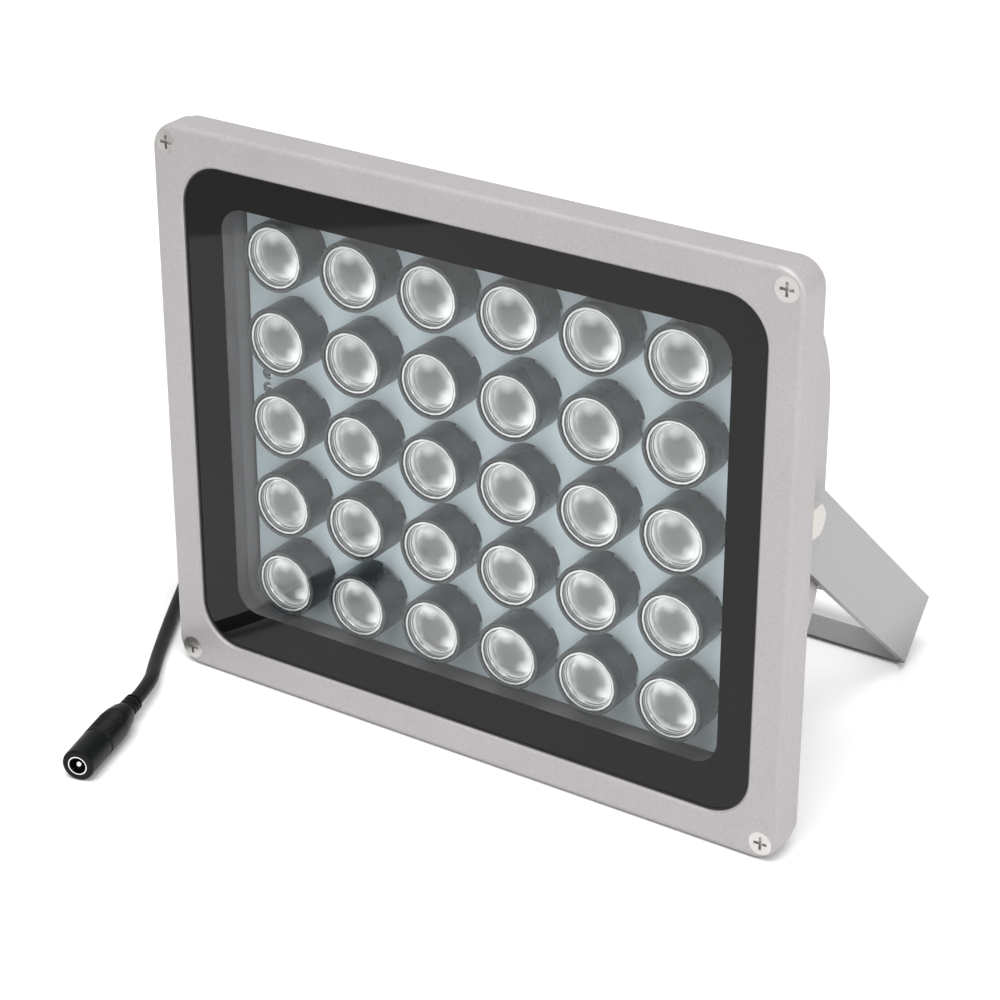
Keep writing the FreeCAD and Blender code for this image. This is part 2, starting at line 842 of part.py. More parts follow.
def make_plug_shell():
    """Moulded socket housing: grooved strain relief, taper, grip and smooth barrel."""
    tail_radius = cable_radius + plug_relief_wall
    groove_radius = cable_radius + plug_relief_wall / 2
    grip_start = plug_relief_length + plug_taper_length
    barrel_start = grip_start + plug_grip_length
    profile = [Vector(0, 0, 0), Vector(tail_radius, 0, 0)]
    pitch = plug_relief_length / (plug_relief_ribs + 0.5)
    for index in range(plug_relief_ribs):
        low = (index + 0.5) * pitch
        high = low + pitch / 2
        profile += [
            Vector(tail_radius, 0, low),
            Vector(groove_radius, 0, low),
            Vector(groove_radius, 0, high),
            Vector(tail_radius, 0, high),
        ]
    profile += [
        Vector(plug_waist_radius, 0, plug_relief_length),
        Vector(plug_grip_radius, 0, grip_start),
        Vector(plug_grip_radius, 0, barrel_start),
        Vector(plug_body_radius, 0, barrel_start),
        Vector(plug_body_radius, 0, plug_length - plug_edge),
        Vector(plug_body_radius - plug_edge, 0, plug_length),
        Vector(0, 0, plug_length),
        Vector(0, 0, 0),
    ]
    shell = Part.Face(Part.makePolygon(profile)).revolve(Vector(0, 0, 0), Vector(0, 0, 1), 360)
    bore_radius = socket_bore_radius + socket_sleeve_wall
    bore = Part.makeCylinder(bore_radius, socket_depth, Vector(0, 0, plug_length - socket_depth))
    return along_plug(shell.cut(bore))


def make_socket_sleeve():
    """Metal sleeve that lines the socket."""
    bottom = Vector(0, 0, plug_length - socket_depth)
    outer = Part.makeCylinder(socket_bore_radius + socket_sleeve_wall, socket_depth, bottom)
    return along_plug(outer.cut(Part.makeCylinder(socket_bore_radius, socket_depth, bottom)))


def make_socket_pin():
    """Centre pin with a tapered tip, standing on the bottom of the socket."""
    length = socket_depth - socket_pin_set_back
    bottom = Vector(0, 0, plug_length - socket_depth)
    pin = Part.makeCylinder(socket_pin_radius, length, bottom)
    tip = [edge for edge in pin.Edges if edge.Closed and edge.CenterOfMass.z > plug_length - socket_depth + 1]
    return along_plug(pin.makeChamfer(socket_pin_radius / 2, tip))


def build():
    """Write one file for each sub-part."""
    os.makedirs("parts", exist_ok=True)
    sides = (-1, 1)
    save("front_bezel", [make_bezel()])
    save("cover_glass", [make_glass()])
    save("glass_gasket", [make_gasket()])
    save("bezel_screws", [make_bezel_screw(x, z) for x, z in screw_places()])
    save("rear_housing", [make_housing()])
    save("cooling_fins", make_inner_fins())
    save("end_fins", [make_end_fin(side) for side in sides])
    save("led_board", [make_led_board()])
    for row in range(row_count):
        z = row_place(row)
        number = str(row + 1)
        save("emitter_row_" + number, [make_emitter(x, z) for x in column_places()])
        save("lens_holder_row_" + number, [make_holder(x, z) for x in column_places()])
        save("lens_row_" + number, [make_lens(x, z) for x in column_places()])
    save("driver_board", [make_driver_board()])
    save("driver_screws", [make_driver_screw(x, z) for x, z in driver_screw_places()])
    save("driver_inductor", [make_inductor()])
    save("driver_capacitors", [make_capacitor(side) for side in sides])
    save("driver_chips", [make_chip(side) for side in sides])
    save("led_leads", [make_led_lead(x, z) for x, z in led_lead_places()])
    save("supply_leads", [make_supply_lead(side) for side in sides])
    save("pivot_bolts", [make_pivot_bolt(side) for side in sides])
    save("spring_washers", [make_spring_washer(side) for side in sides])
    save("friction_washers", [make_friction_washer(side) for side in sides])
    save("mounting_bracket", [make_bracket()])
    save("gland_body", [make_gland_body()])
    save("gland_seal", [make_gland_seal()])
    save("gland_nut", [make_gland_nut()])
    save("gland_bush", [make_gland_bush()])
    save("inner_cable", [make_inner_cable()])
    save("power_cable", [make_cable()])
    save("plug_shell", [make_plug_shell()])
    save("socket_sleeve", [make_socket_sleeve()])
    save("socket_pin", [make_socket_pin()])
    print("rest tilt", round(rest_tilt, 2), "overall depth", round(overall_depth, 2))


build()
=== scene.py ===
"""Looks of a floodlight-style infrared illuminator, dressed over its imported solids.

The lamp stands on the lower edge of its bezel with its U bracket folded back as a rear leg. Sizes are
millimetres on the lamp's own axes: x across it, depth from its front face to the back, and up from the
middle of its front. Place turns them into the shared frame in metres.
"""

import logging
import math
from dataclasses import dataclass, field
from enum import Enum
from typing import Sequence

import bmesh
import bpy
import numpy as np
from mathutils import Matrix, Vector


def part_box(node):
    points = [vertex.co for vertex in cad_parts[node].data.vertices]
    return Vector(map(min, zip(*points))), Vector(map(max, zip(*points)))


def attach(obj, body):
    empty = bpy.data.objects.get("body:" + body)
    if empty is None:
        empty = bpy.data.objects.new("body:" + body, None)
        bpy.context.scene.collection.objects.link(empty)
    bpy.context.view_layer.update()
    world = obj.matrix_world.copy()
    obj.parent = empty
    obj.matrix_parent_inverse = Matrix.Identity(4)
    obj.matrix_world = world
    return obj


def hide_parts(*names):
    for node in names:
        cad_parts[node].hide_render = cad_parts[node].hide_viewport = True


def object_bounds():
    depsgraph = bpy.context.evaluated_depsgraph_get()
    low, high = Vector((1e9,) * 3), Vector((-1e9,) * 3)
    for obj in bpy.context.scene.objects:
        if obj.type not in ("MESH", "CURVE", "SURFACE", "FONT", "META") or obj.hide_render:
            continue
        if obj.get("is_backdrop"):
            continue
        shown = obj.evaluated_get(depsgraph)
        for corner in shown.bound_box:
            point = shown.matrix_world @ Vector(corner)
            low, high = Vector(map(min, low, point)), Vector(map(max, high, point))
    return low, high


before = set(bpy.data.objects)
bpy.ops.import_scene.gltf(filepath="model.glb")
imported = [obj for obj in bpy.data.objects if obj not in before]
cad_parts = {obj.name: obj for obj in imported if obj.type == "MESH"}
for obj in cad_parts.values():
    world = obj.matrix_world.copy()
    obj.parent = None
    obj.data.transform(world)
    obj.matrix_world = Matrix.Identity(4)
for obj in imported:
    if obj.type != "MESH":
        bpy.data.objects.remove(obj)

log = logging.getLogger("illuminator")
# A millimetre in metres, a turn in radians, where soft noise mostly lies, and the gap that parts two faces.
MM = 0.001
TURN = 2.0 * math.pi
NOISE_MIDDLE = (0.3, 0.7)
SKIN = 0.01
Colour = tuple[float, float, float]
Setting = bpy.types.NodeSocket | float | tuple


class Body(Enum):
    """The two bodies that move against each other."""

    HEAD = "lamp_head"
    BRACKET = "bracket"


@dataclass(frozen=True)
class Place:
    """Where the lamp's own axes lie in the shared frame."""

    front: float
    middle: float

    @classmethod
    def of_lamp(cls) -> "Place":
        """Read the place from the bezel, whose front face is at depth 0."""
        low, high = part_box("front_bezel")
        return cls(front=low.y, middle=(low.z + high.z) / 2)

    def points(self, lamp: np.ndarray) -> np.ndarray:
        """Carry points from the lamp's axes to the shared frame.

        Args:
            lamp: Rows of (x, depth, up) in millimetres.

        Returns:
            Rows of (X, Y, Z) in metres.
        """
        return np.asarray(lamp, float) * MM + np.array([0.0, self.front, self.middle])


def front_of(node: str) -> float:
    """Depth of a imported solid's front, in millimetres."""
    return (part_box(node)[0].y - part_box("front_bezel")[0].y) / MM


def half_height_of(node: str) -> float:
    """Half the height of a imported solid, in millimetres."""
    return (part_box(node)[1].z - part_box(node)[0].z) / 2 / MM


@dataclass(frozen=True)
class Shell:
    """A surface of four-cornered faces.

    Attributes:
        points: Rows of (x, depth, up) in millimetres.
        faces: Rows of four point numbers.
        spot: For each point, its place on its own part, which finishes can read.
    """

    points: np.ndarray
    faces: np.ndarray
    spot: np.ndarray

    @classmethod
    def grid(cls, points: np.ndarray, wrap_rows: bool = False, wrap_columns: bool = True) -> "Shell":
        """Join a grid of points, each with the next in its row and in its column.

        Args:
            points: Array of rows by columns by 3.
            wrap_rows: Whether the last row joins the first.
            wrap_columns: Whether the last column joins the first.

        Returns:
            The surface.
        """
        rows, columns = points.shape[:2]
        i = np.arange(rows if wrap_rows else rows - 1)[:, None]
        j = np.arange(columns if wrap_columns else columns - 1)[None, :]
        below, beside = (i + 1) % rows, (j + 1) % columns
        corners = [i * columns + j, below * columns + j, below * columns + beside, i * columns + beside]
        flat = points.reshape(-1, 3).astype(float)
        return cls(flat, np.stack(np.broadcast_arrays(*corners), -1).reshape(-1, 4), flat.copy())

    @classmethod
    def joined(cls, shells: Sequence["Shell"]) -> "Shell":
        """Put several surfaces into one, without merging them.

        Args:
            shells: The surfaces.

        Returns:
            The one surface.
        """
        starts = np.cumsum([0] + [len(shell.points) for shell in shells[:-1]])
        return cls(
            np.concatenate([shell.points for shell in shells]),
            np.concatenate([shell.faces + start for shell, start in zip(shells, starts)]),
            np.concatenate([shell.spot for shell in shells]),
        )

    def moved(self, x: float, depth: float, up: float) -> "Shell":
        """The same surface further on, each spot unchanged."""
        return Shell(self.points + np.array([x, depth, up]), self.faces, self.spot)


def turned(profile: Sequence[tuple[float, float]], angles: np.ndarray, closed: bool = False) -> Shell:
    """Turn a profile about the depth axis: point (i, j) is (r_i cos a_j, d_i, r_i sin a_j).

    Args:
        profile: Pairs of radius r and depth d, in millimetres.
        angles: Angles a in radians, one turn without its end.
        closed: Whether the profile's last pair joins its first.

    Returns:
        The turned surface.
    """
    radius, depth = np.asarray(profile, float).T
    points = np.stack([
        radius[:, None] * np.cos(angles)[None, :],
        np.repeat(depth[:, None], len(angles), axis=1),
        radius[:, None] * np.sin(angles)[None, :],
    ], axis=-1)
    return Shell.grid(points, wrap_rows=closed)


def even_turn(steps: int) -> np.ndarray:
    """Angles of one even turn, without its end."""
    return np.arange(steps) * (TURN / steps)


def rounded_outline(half_x: float, half_up: float, radius: float, steps: int = 12) -> np.ndarray:
    """Outline of a rounded rectangle: each corner's centre plus the radius at an even spread of angles.

    Args:
        half_x: Half its width.
        half_up: Half its height.
        radius: Radius of its corners.
        steps: Points on each corner.

    Returns:
        Rows of (x, up), going round once.
    """
    corner = np.arange(4)[:, None]
    angle = (corner + np.linspace(0.0, 1.0, steps)[None, :]) * (math.pi / 2)
    sign_x = np.where((corner == 0) | (corner == 3), 1.0, -1.0)
    sign_up = np.where(corner < 2, 1.0, -1.0)
    x = sign_x * (half_x - radius) + radius * np.cos(angle)
    up = sign_up * (half_up - radius) + radius * np.sin(angle)
    return np.stack([x.ravel(), up.ravel()], axis=-1)


class Graph:
    """Node tree of one material, with a short call for each kind of node."""

    def __init__(self, name: str) -> None:
        """Start an empty tree.

        Args:
            name: Name of the material.
        """
        self.material = bpy.data.materials.new(name)
        self.material.use_nodes = True
        self.tree = self.material.node_tree
        self.tree.nodes.clear()

    def add(self, kind: str, inputs: dict[str | int, Setting], **settings: object) -> bpy.types.Node:
        """Add a node.

        Args:
            kind: Its type without the ShaderNode in front.
            inputs: Sockets to link to, or numbers to type in, by input name or number.
            settings: Other properties of the node.

        Returns:
            The node.
        """
        node = self.tree.nodes.new("ShaderNode" + kind)
        for key, value in settings.items():
            setattr(node, key, value)
        for key, value in inputs.items():
            if isinstance(value, bpy.types.NodeSocket):
                self.tree.links.new(value, node.inputs[key])
            else:
                node.inputs[key].default_value = value
        return node

    def where(self) -> bpy.types.NodeSocket:
        """Object coordinates, in metres."""
        return self.add("TexCoord", {}).outputs["Object"]

    def spot(self) -> bpy.types.NodeSocket:
        """The place of the point on its own part, in millimetres."""
        return self.add("Attribute", {}, attribute_name="spot").outputs["Vector"]

    def noise(self, vector: bpy.types.NodeSocket, scale: float, detail: float = 2.0) -> bpy.types.NodeSocket:
        """Soft noise from 0 to 1."""
        inputs = {"Vector": vector, "Scale": scale, "Detail": detail}
        return self.add("TexNoise", inputs).outputs["Fac"]

    def cells(self, vector: bpy.types.NodeSocket, scale: float) -> bpy.types.NodeSocket:
        """One random number from 0 to 1 in each small cell."""
        cell = self.add("TexVoronoi", {"Vector": vector, "Scale": scale})
        return self.add("SeparateXYZ", {0: cell.outputs["Color"]}).outputs["X"]

    def math(self, operation: str, a: Setting, b: Setting = 0.0) -> bpy.types.NodeSocket:
        """One sum on numbers."""
        return self.add("Math", {0: a, 1: b}, operation=operation).outputs[0]

    def spread(
        self, value: Setting, low: float, high: float, start: float = 0.0, end: float = 1.0,
    ) -> bpy.types.NodeSocket:
        """Carry a number from the range start to end into the range low to high, and no further."""
        inputs = {"Value": value, "From Min": start, "From Max": end, "To Min": low, "To Max": high}
        return self.add("MapRange", inputs).outputs["Result"]

    def vary(self, noise: Setting, low: float, high: float) -> bpy.types.NodeSocket:
        """Carry soft noise, which seldom leaves its middle, into the range low to high."""
        return self.spread(noise, low, high, *NOISE_MIDDLE)

    def grey(self, level: bpy.types.NodeSocket) -> bpy.types.NodeSocket:
        """A number as a grey."""
        return self.add("CombineXYZ", {0: level, 1: level, 2: level}).outputs[0]

    def blend(
        self, share: Setting, first: Setting, second: Setting, mode: str = "MIX",
    ) -> bpy.types.NodeSocket:
        """Mix two colours.

        Args:
            share: Share of the second.
            first: Colour at share 0.
            second: Colour at share 1.
            mode: How they are mixed.

        Returns:
            The mixed colour.
        """
        tones = [tone if isinstance(tone, bpy.types.NodeSocket) else (*tone, 1.0) for tone in (first, second)]
        node = self.add("Mix", {0: share, 6: tones[0], 7: tones[1]}, data_type="RGBA", blend_type=mode)
        return node.outputs[2]

    def bands(
        self, value: bpy.types.NodeSocket, stops: Sequence[tuple[float, Colour]],
    ) -> bpy.types.NodeSocket:
        """Colour along a number.

        Args:
            value: The number, from 0 to 1.
            stops: Pairs of position and colour, in order.

        Returns:
            The colour.
        """
        node = self.add("ValToRGB", {0: value})
        ramp = node.color_ramp
        while len(ramp.elements) < len(stops):
            ramp.elements.new(1.0)
        for element, (position, colour) in zip(ramp.elements, stops):
            element.position = position
            element.color = (*colour, 1.0)
        return node.outputs["Color"]

    def relief(self, height: bpy.types.NodeSocket, rise: float) -> bpy.types.NodeSocket:
        """Normals of a height from 0 to 1 that stands for a rise in millimetres."""
        return self.add("Bump", {"Height": height, "Distance": rise * MM, "Strength": 1.0}).outputs["Normal"]

    def end(self, shader: bpy.types.Node) -> bpy.types.Material:
        """Send the shader out.

        Args:
            shader: The last shader.

        Returns:
            The finished material.
        """
        self.add("OutputMaterial", {"Surface": shader.outputs[0]})
        return self.material


@dataclass(frozen=True)
class Finish:
    """A plain stuff: two tones in soft patches, a fine grain and a spread of gloss.

    Attributes:
        name: Name of the material.
        light: Lighter tone.
        dark: Darker tone.
        patches: Soft patches to a metre.
        grain: Grains to a metre.
        rise: Height of the grain in millimetres.
        gloss: Least and greatest roughness.
        metal: Share of metal.
        coat: Weight of a clear coat.
        shine: Level of the mirror share.
    """

    name: str
    light: Colour
    dark: Colour
    patches: float = 90.0
    grain: float = 1500.0
    rise: float = 0.02
    gloss: tuple[float, float] = (0.4, 0.55)
    metal: float = 0.0
    coat: float = 0.0
    shine: float = 0.5

    def tone(self, graph: Graph, patch: bpy.types.NodeSocket) -> bpy.types.NodeSocket:
        """Colour of the stuff over its patches."""
        return graph.blend(graph.vary(patch, 0.0, 1.0), self.dark, self.light)

    def make(self) -> bpy.types.Material:
        """Make the material.

        Returns:
            A material on object coordinates.
        """
        graph = Graph(self.name)
        where = graph.where()
        patch = graph.noise(where, self.patches, 3.0)
        grain = graph.noise(where, self.grain, 2.0)
        return graph.end(graph.add("BsdfPrincipled", {
            "Base Color": self.tone(graph, patch),
            "Metallic": self.metal,
            "Roughness": graph.vary(patch, *self.gloss),
            "Specular IOR Level": self.shine,
            "Coat Weight": self.coat,
            "Normal": graph.relief(grain, self.rise),
        }))


@dataclass(frozen=True)
class SprayedPaint(Finish):
    """Silver-grey paint with metal flakes, the soft waves of a sprayed coat, and painted shade in its
    creases.

    Attributes:
        flakes: Flakes to a metre.
        sparkle: How far a flake is lighter or darker than the paint.
        crease: How far the painted shade reaches into a crease, in millimetres.
        crease_shade: How light the painted shade leaves the paint down in a crease.
        shelter: Share of open sky down in a crease, and out on a flat.
    """

    flakes: float = 3600.0
    sparkle: float = 0.09
    crease: float = 2.5
    crease_shade: float = 0.62
    shelter: tuple[float, float] = (0.45, 0.95)

    def tone(self, graph: Graph, patch: bpy.types.NodeSocket) -> bpy.types.NodeSocket:
        """Colour with a flake in each small cell, darkened by painted shade in creases.

        Args:
            graph: The material's node tree.
            patch: Soft noise over the surface.

        Returns:
            The colour.
        """
        base = super().tone(graph, patch)
        flake = graph.cells(graph.where(), self.flakes)
        level = graph.spread(flake, 1.0 - self.sparkle, 1.0 + self.sparkle)
        # Painted shade: ambient occlusion darkens the colour in creases and where parts meet.
        sky = graph.add("AmbientOcclusion", {"Distance": self.crease * MM}, samples=4).outputs["AO"]
        level = graph.math("MULTIPLY", level, graph.spread(sky, self.crease_shade, 1.0, *self.shelter))
        return graph.blend(1.0, base, graph.grey(level), "MULTIPLY")


@dataclass(frozen=True)
class ShadedCavityPaint(SprayedPaint):
    """Housing paint with painted shade on the walls round the emitter board, behind the glass.

    Attributes:
        inner: How light the painted shade leaves the paint there.
        beside: How far past the board's edges the box reaches, in metres.
        behind: How far past the board's rear the box reaches, in metres.
    """

    inner: float = 0.62
    beside: float = 0.0015
    behind: float = 0.0005

    def tone(self, graph: Graph, patch: bpy.types.NodeSocket) -> bpy.types.NodeSocket:
        """Colour of the paint, with painted shade inside a box a little wider than the board.

        Args:
            graph: The material's node tree.
            patch: Soft noise over the surface.

        Returns:
            The colour.
        """
        low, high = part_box("led_board")
        axes = graph.add("SeparateXYZ", {0: graph.where()}).outputs
        inside = graph.math("LESS_THAN", axes["Y"], high.y + self.behind)
        for axis, least, most in (("X", low.x, high.x), ("Z", low.z, high.z)):
            away = graph.math("ABSOLUTE", graph.math("SUBTRACT", axes[axis], (least + most) / 2))
            inside = graph.math(
                "MULTIPLY", inside, graph.math("LESS_THAN", away, (most - least) / 2 + self.beside),
            )
        # Painted shade: the cavity walls inside the box are darkened.
        level = graph.spread(inside, 1.0, self.inner)
        return graph.blend(1.0, super().tone(graph, patch), graph.grey(level), "MULTIPLY")


@dataclass(frozen=True)
class ClearPane:
    """Toughened glass, seen straight through: its mirror share grows with the fifth power of its tilt.

    Attributes:
        name: Name of the material.
        tint: Colour of what passes each face.
        mirror: Mirror share of a face seen straight on.
        growth: Power with which the mirror share grows.
        smears: Wiped smears to a metre.
        gloss: Least and greatest roughness over the smears.
    """

    name: str = "clear_pane"
    tint: Colour = (0.985, 0.992, 0.992)
    mirror: float = 0.028
    growth: float = 5.0
    smears: float = 14.0
    gloss: tuple[float, float] = (0.012, 0.03)

    def make(self) -> bpy.types.Material:
        """Make the material.

        Returns:
            A material that lets the view and the light through.
        """
        graph = Graph(self.name)
        smear = graph.noise(graph.where(), self.smears, 4.0)
        clear = graph.add("BsdfTransparent", {"Color": (*self.tint, 1.0)})
        gloss = graph.add("BsdfGlossy", {
            "Color": (1.0, 1.0, 1.0, 1.0),
            "Roughness": graph.vary(smear, *self.gloss),
        })
        facing = graph.add("LayerWeight", {"Blend": 0.5}).outputs["Facing"]
        share = graph.spread(graph.math("POWER", facing, self.growth), self.mirror, 1.0)
        return graph.end(graph.add("MixShader", {0: share, 1: clear.outputs[0], 2: gloss.outputs[0]}))


@dataclass(frozen=True)
class LensOptic:
    """Moulded optic seen from its front: rings down its wall, and a white shoulder round a grey middle.

    These tones and the two glints are painted reflections and painted shade.

    Attributes:
        name: Name of the material.
        mouth: Depth of the holder's mouth in millimetres.
        painted_rings: Pairs of level and colour, painted reflections and shade of the moulding. A point's
            level is
        its radius less its depth behind the mouth, so it falls all the way from the rim down the wall and in
        to the middle.
        low: Level at the middle of the lens.
        high: Level past its rim.
        glints: Places of the two painted glints, each an x, an up and a reach in millimetres.
        glint: Colour of a painted glint.
        glint_share: Share of that colour in its middle.
        waver: How far the rings waver, in millimetres.
        metal: Share of metal, which stands for light thrown back inside the moulding.
        coat: Weight of the clear outer face.
    """

    name: str = "lens_optic"
    mouth: float = field(default_factory=lambda: front_of("lens_holder_row_1"))
    painted_rings: tuple[tuple[float, Colour], ...] = (
        (-1.3, (0.150, 0.153, 0.154)),
        (1.5, (0.165, 0.168, 0.169)),
        (2.7, (0.210, 0.213, 0.214)),
        (3.5, (0.330, 0.333, 0.333)),
        (4.3, (0.580, 0.580, 0.575)),
        (5.0, (0.780, 0.780, 0.770)),
        (5.6, (0.820, 0.820, 0.810)),
        (5.9, (0.240, 0.245, 0.248)),
        (6.2, (0.090, 0.095, 0.098)),
        (6.5, (0.700, 0.700, 0.695)),
        (6.8, (0.740, 0.740, 0.735)),
        (7.05, (0.100, 0.105, 0.108)),
        (7.35, (0.100, 0.105, 0.108)),
        (7.6, (0.520, 0.525, 0.525)),
        (7.95, (0.070, 0.075, 0.078)),
        (8.55, (0.090, 0.095, 0.098)),
        (8.85, (0.620, 0.620, 0.615)),
        (9.15, (0.780, 0.780, 0.775)),
        (9.4, (0.080, 0.084, 0.086)),
    )
    low: float = -1.5
    high: float = 9.7
    glints: tuple[tuple[float, float, float], ...] = ((-1.6, 6.3, 3.6), (5.4, -3.8, 3.4))
    glint: Colour = (0.95, 0.95, 0.94)
    glint_share: float = 0.75
    waver: float = 0.12
    metal: float = 0.6
    coat: float = 0.5

    def make(self) -> bpy.types.Material:
        """Make the material.

        Returns:
            A material on each lens's own spot.
        """
        graph = Graph(self.name)
        axes = graph.add("SeparateXYZ", {0: graph.spot()}).outputs
        flat = graph.add("CombineXYZ", {0: axes["X"], 1: axes["Z"], 2: 0.0}).outputs[0]
        radius = graph.add("VectorMath", {0: flat}, operation="LENGTH").outputs["Value"]
        level = graph.math("SUBTRACT", radius, graph.math("SUBTRACT", axes["Y"], self.mouth))
        waver = graph.vary(graph.noise(flat, 0.5, 2.0), -self.waver, self.waver)
        share = graph.spread(graph.math("ADD", level, waver), 0.0, 1.0, self.low, self.high)
        stops = [((ring - self.low) / (self.high - self.low), tone) for ring, tone in self.painted_rings]
        # Painted reflections and shade: the rings of the clear moulding, coloured by level.
        colour = graph.bands(share, stops)
        # Painted highlights: two glints blended towards a bright colour.
        for x, up, reach in self.glints:
            away = graph.add("VectorMath", {0: flat, 1: (x, up, 0.0)}, operation="DISTANCE").outputs["Value"]
            colour = graph.blend(graph.spread(away, self.glint_share, 0.0, 0.0, reach), colour, self.glint)
        return graph.end(graph.add("BsdfPrincipled", {
            "Base Color": colour,
            "Metallic": self.metal,
            "Roughness": graph.spread(radius, 0.34, 0.16, 5.0, 7.0),
            "Coat Weight": self.coat,
            "Coat Roughness": 0.03,
        }))


CAST_TONES = ((0.384, 0.363, 0.369), (0.363, 0.344, 0.350))
# Painted shade: the bracket's tones are the casting's paint made darker, for the less lit bracket.
SHADED_STRIP_TONES = ((0.345, 0.338, 0.339), (0.327, 0.321, 0.322))
SPRAY = (45.0, 2300.0, 0.012, (0.36, 0.46), 0.2)
# Painted shade: each sprayed paint darkens its colour in creases.
PAINT = SprayedPaint("sprayed_casting", *CAST_TONES, *SPRAY)
# Housing paint with painted shade on the cavity walls round the emitter board.
HOUSING_PAINT = ShadedCavityPaint("sprayed_housing", *CAST_TONES, *SPRAY)
# Painted shade: a 26 mm reach darkens the bracket's inner faces, which the lamp head shades.
STRIP_PAINT = SprayedPaint("sprayed_strip", *SHADED_STRIP_TONES, *SPRAY, crease=26.0, crease_shade=0.42)
PANE = ClearPane()
ENAMEL = Finish(
    "black_enamel", (0.006, 0.006, 0.006), (0.004, 0.004, 0.004), 14.0, 60.0, 0.0006, (0.02, 0.05),
    shine=0.26,
)
GASKET = Finish("gasket_rubber", (0.02, 0.02, 0.02), (0.012, 0.012, 0.012), 120.0, 1400.0, 0.02, (0.6, 0.75))
STEEL = Finish(
    "nickel_plate", (0.64, 0.63, 0.605), (0.54, 0.53, 0.505), 240.0, 3200.0, 0.012, (0.26, 0.42), 1.0,
)
BOLT = Finish("zinc_flake", (0.60, 0.58, 0.55), (0.55, 0.53, 0.50), 200.0, 2600.0, 0.012, (0.4, 0.55), 0.3)
NYLON = Finish("natural_nylon", (0.82, 0.81, 0.77), (0.76, 0.75, 0.70), 150.0, 1800.0, 0.01, (0.4, 0.5))
MASK = Finish("pale_board_mask", (0.84, 0.96, 1.0), (0.79, 0.92, 0.98), 38.0, 2400.0, 0.004, (0.28, 0.4))
FIBRE = Finish("green_board_mask", (0.03, 0.16, 0.06), (0.02, 0.11, 0.04), 90.0, 2400.0, 0.01, (0.3, 0.42))
HOLDER = Finish(
    "holder_plastic", (0.042, 0.047, 0.051), (0.028, 0.032, 0.036), 70.0, 2000.0, 0.006, (0.22, 0.36),
)
NYLON_BLACK = Finish(
    "black_nylon", (0.020, 0.021, 0.021), (0.012, 0.013, 0.013), 110.0, 1600.0, 0.02, (0.42, 0.55),
)
JACKET = Finish(
    "cable_jacket", (0.011, 0.012, 0.012), (0.007, 0.008, 0.008), 160.0, 2200.0, 0.03, (0.42, 0.56),
    shine=0.15,
)
PLUG = Finish(
    "plug_plastic", (0.007, 0.008, 0.008), (0.005, 0.006, 0.006), 140.0, 2600.0, 0.015, (0.34, 0.46),
    shine=0.12,
)
CONTACT = Finish(
    "bright_contact", (0.86, 0.86, 0.84), (0.76, 0.76, 0.74), 400.0, 3000.0, 0.004, (0.12, 0.2), 1.0,
)
FERRITE = Finish("ferrite", (0.05, 0.05, 0.05), (0.03, 0.03, 0.03), 300.0, 2600.0, 0.03, (0.5, 0.65))
CAN = Finish("capacitor_can", (0.72, 0.72, 0.74), (0.62, 0.62, 0.64), 200.0, 2600.0, 0.01, (0.25, 0.4), 1.0)
CHIP = Finish("chip_plastic", (0.03, 0.03, 0.03), (0.02, 0.02, 0.02), 300.0, 3200.0, 0.01, (0.5, 0.6))
LEAD = Finish("red_lead", (0.45, 0.03, 0.03), (0.36, 0.02, 0.02), 200.0, 2400.0, 0.01, (0.35, 0.45))
EMITTER = Finish(
    "emitter_package", (0.80, 0.74, 0.50), (0.70, 0.64, 0.42), 400.0, 3200.0, 0.005, (0.2, 0.3), 0.0, 0.6,
)
SOLDER = Finish("solder", (0.72, 0.73, 0.74), (0.55, 0.56, 0.58), 500.0, 2600.0, 0.02, (0.2, 0.35), 1.0)
OPTIC = LensOptic()


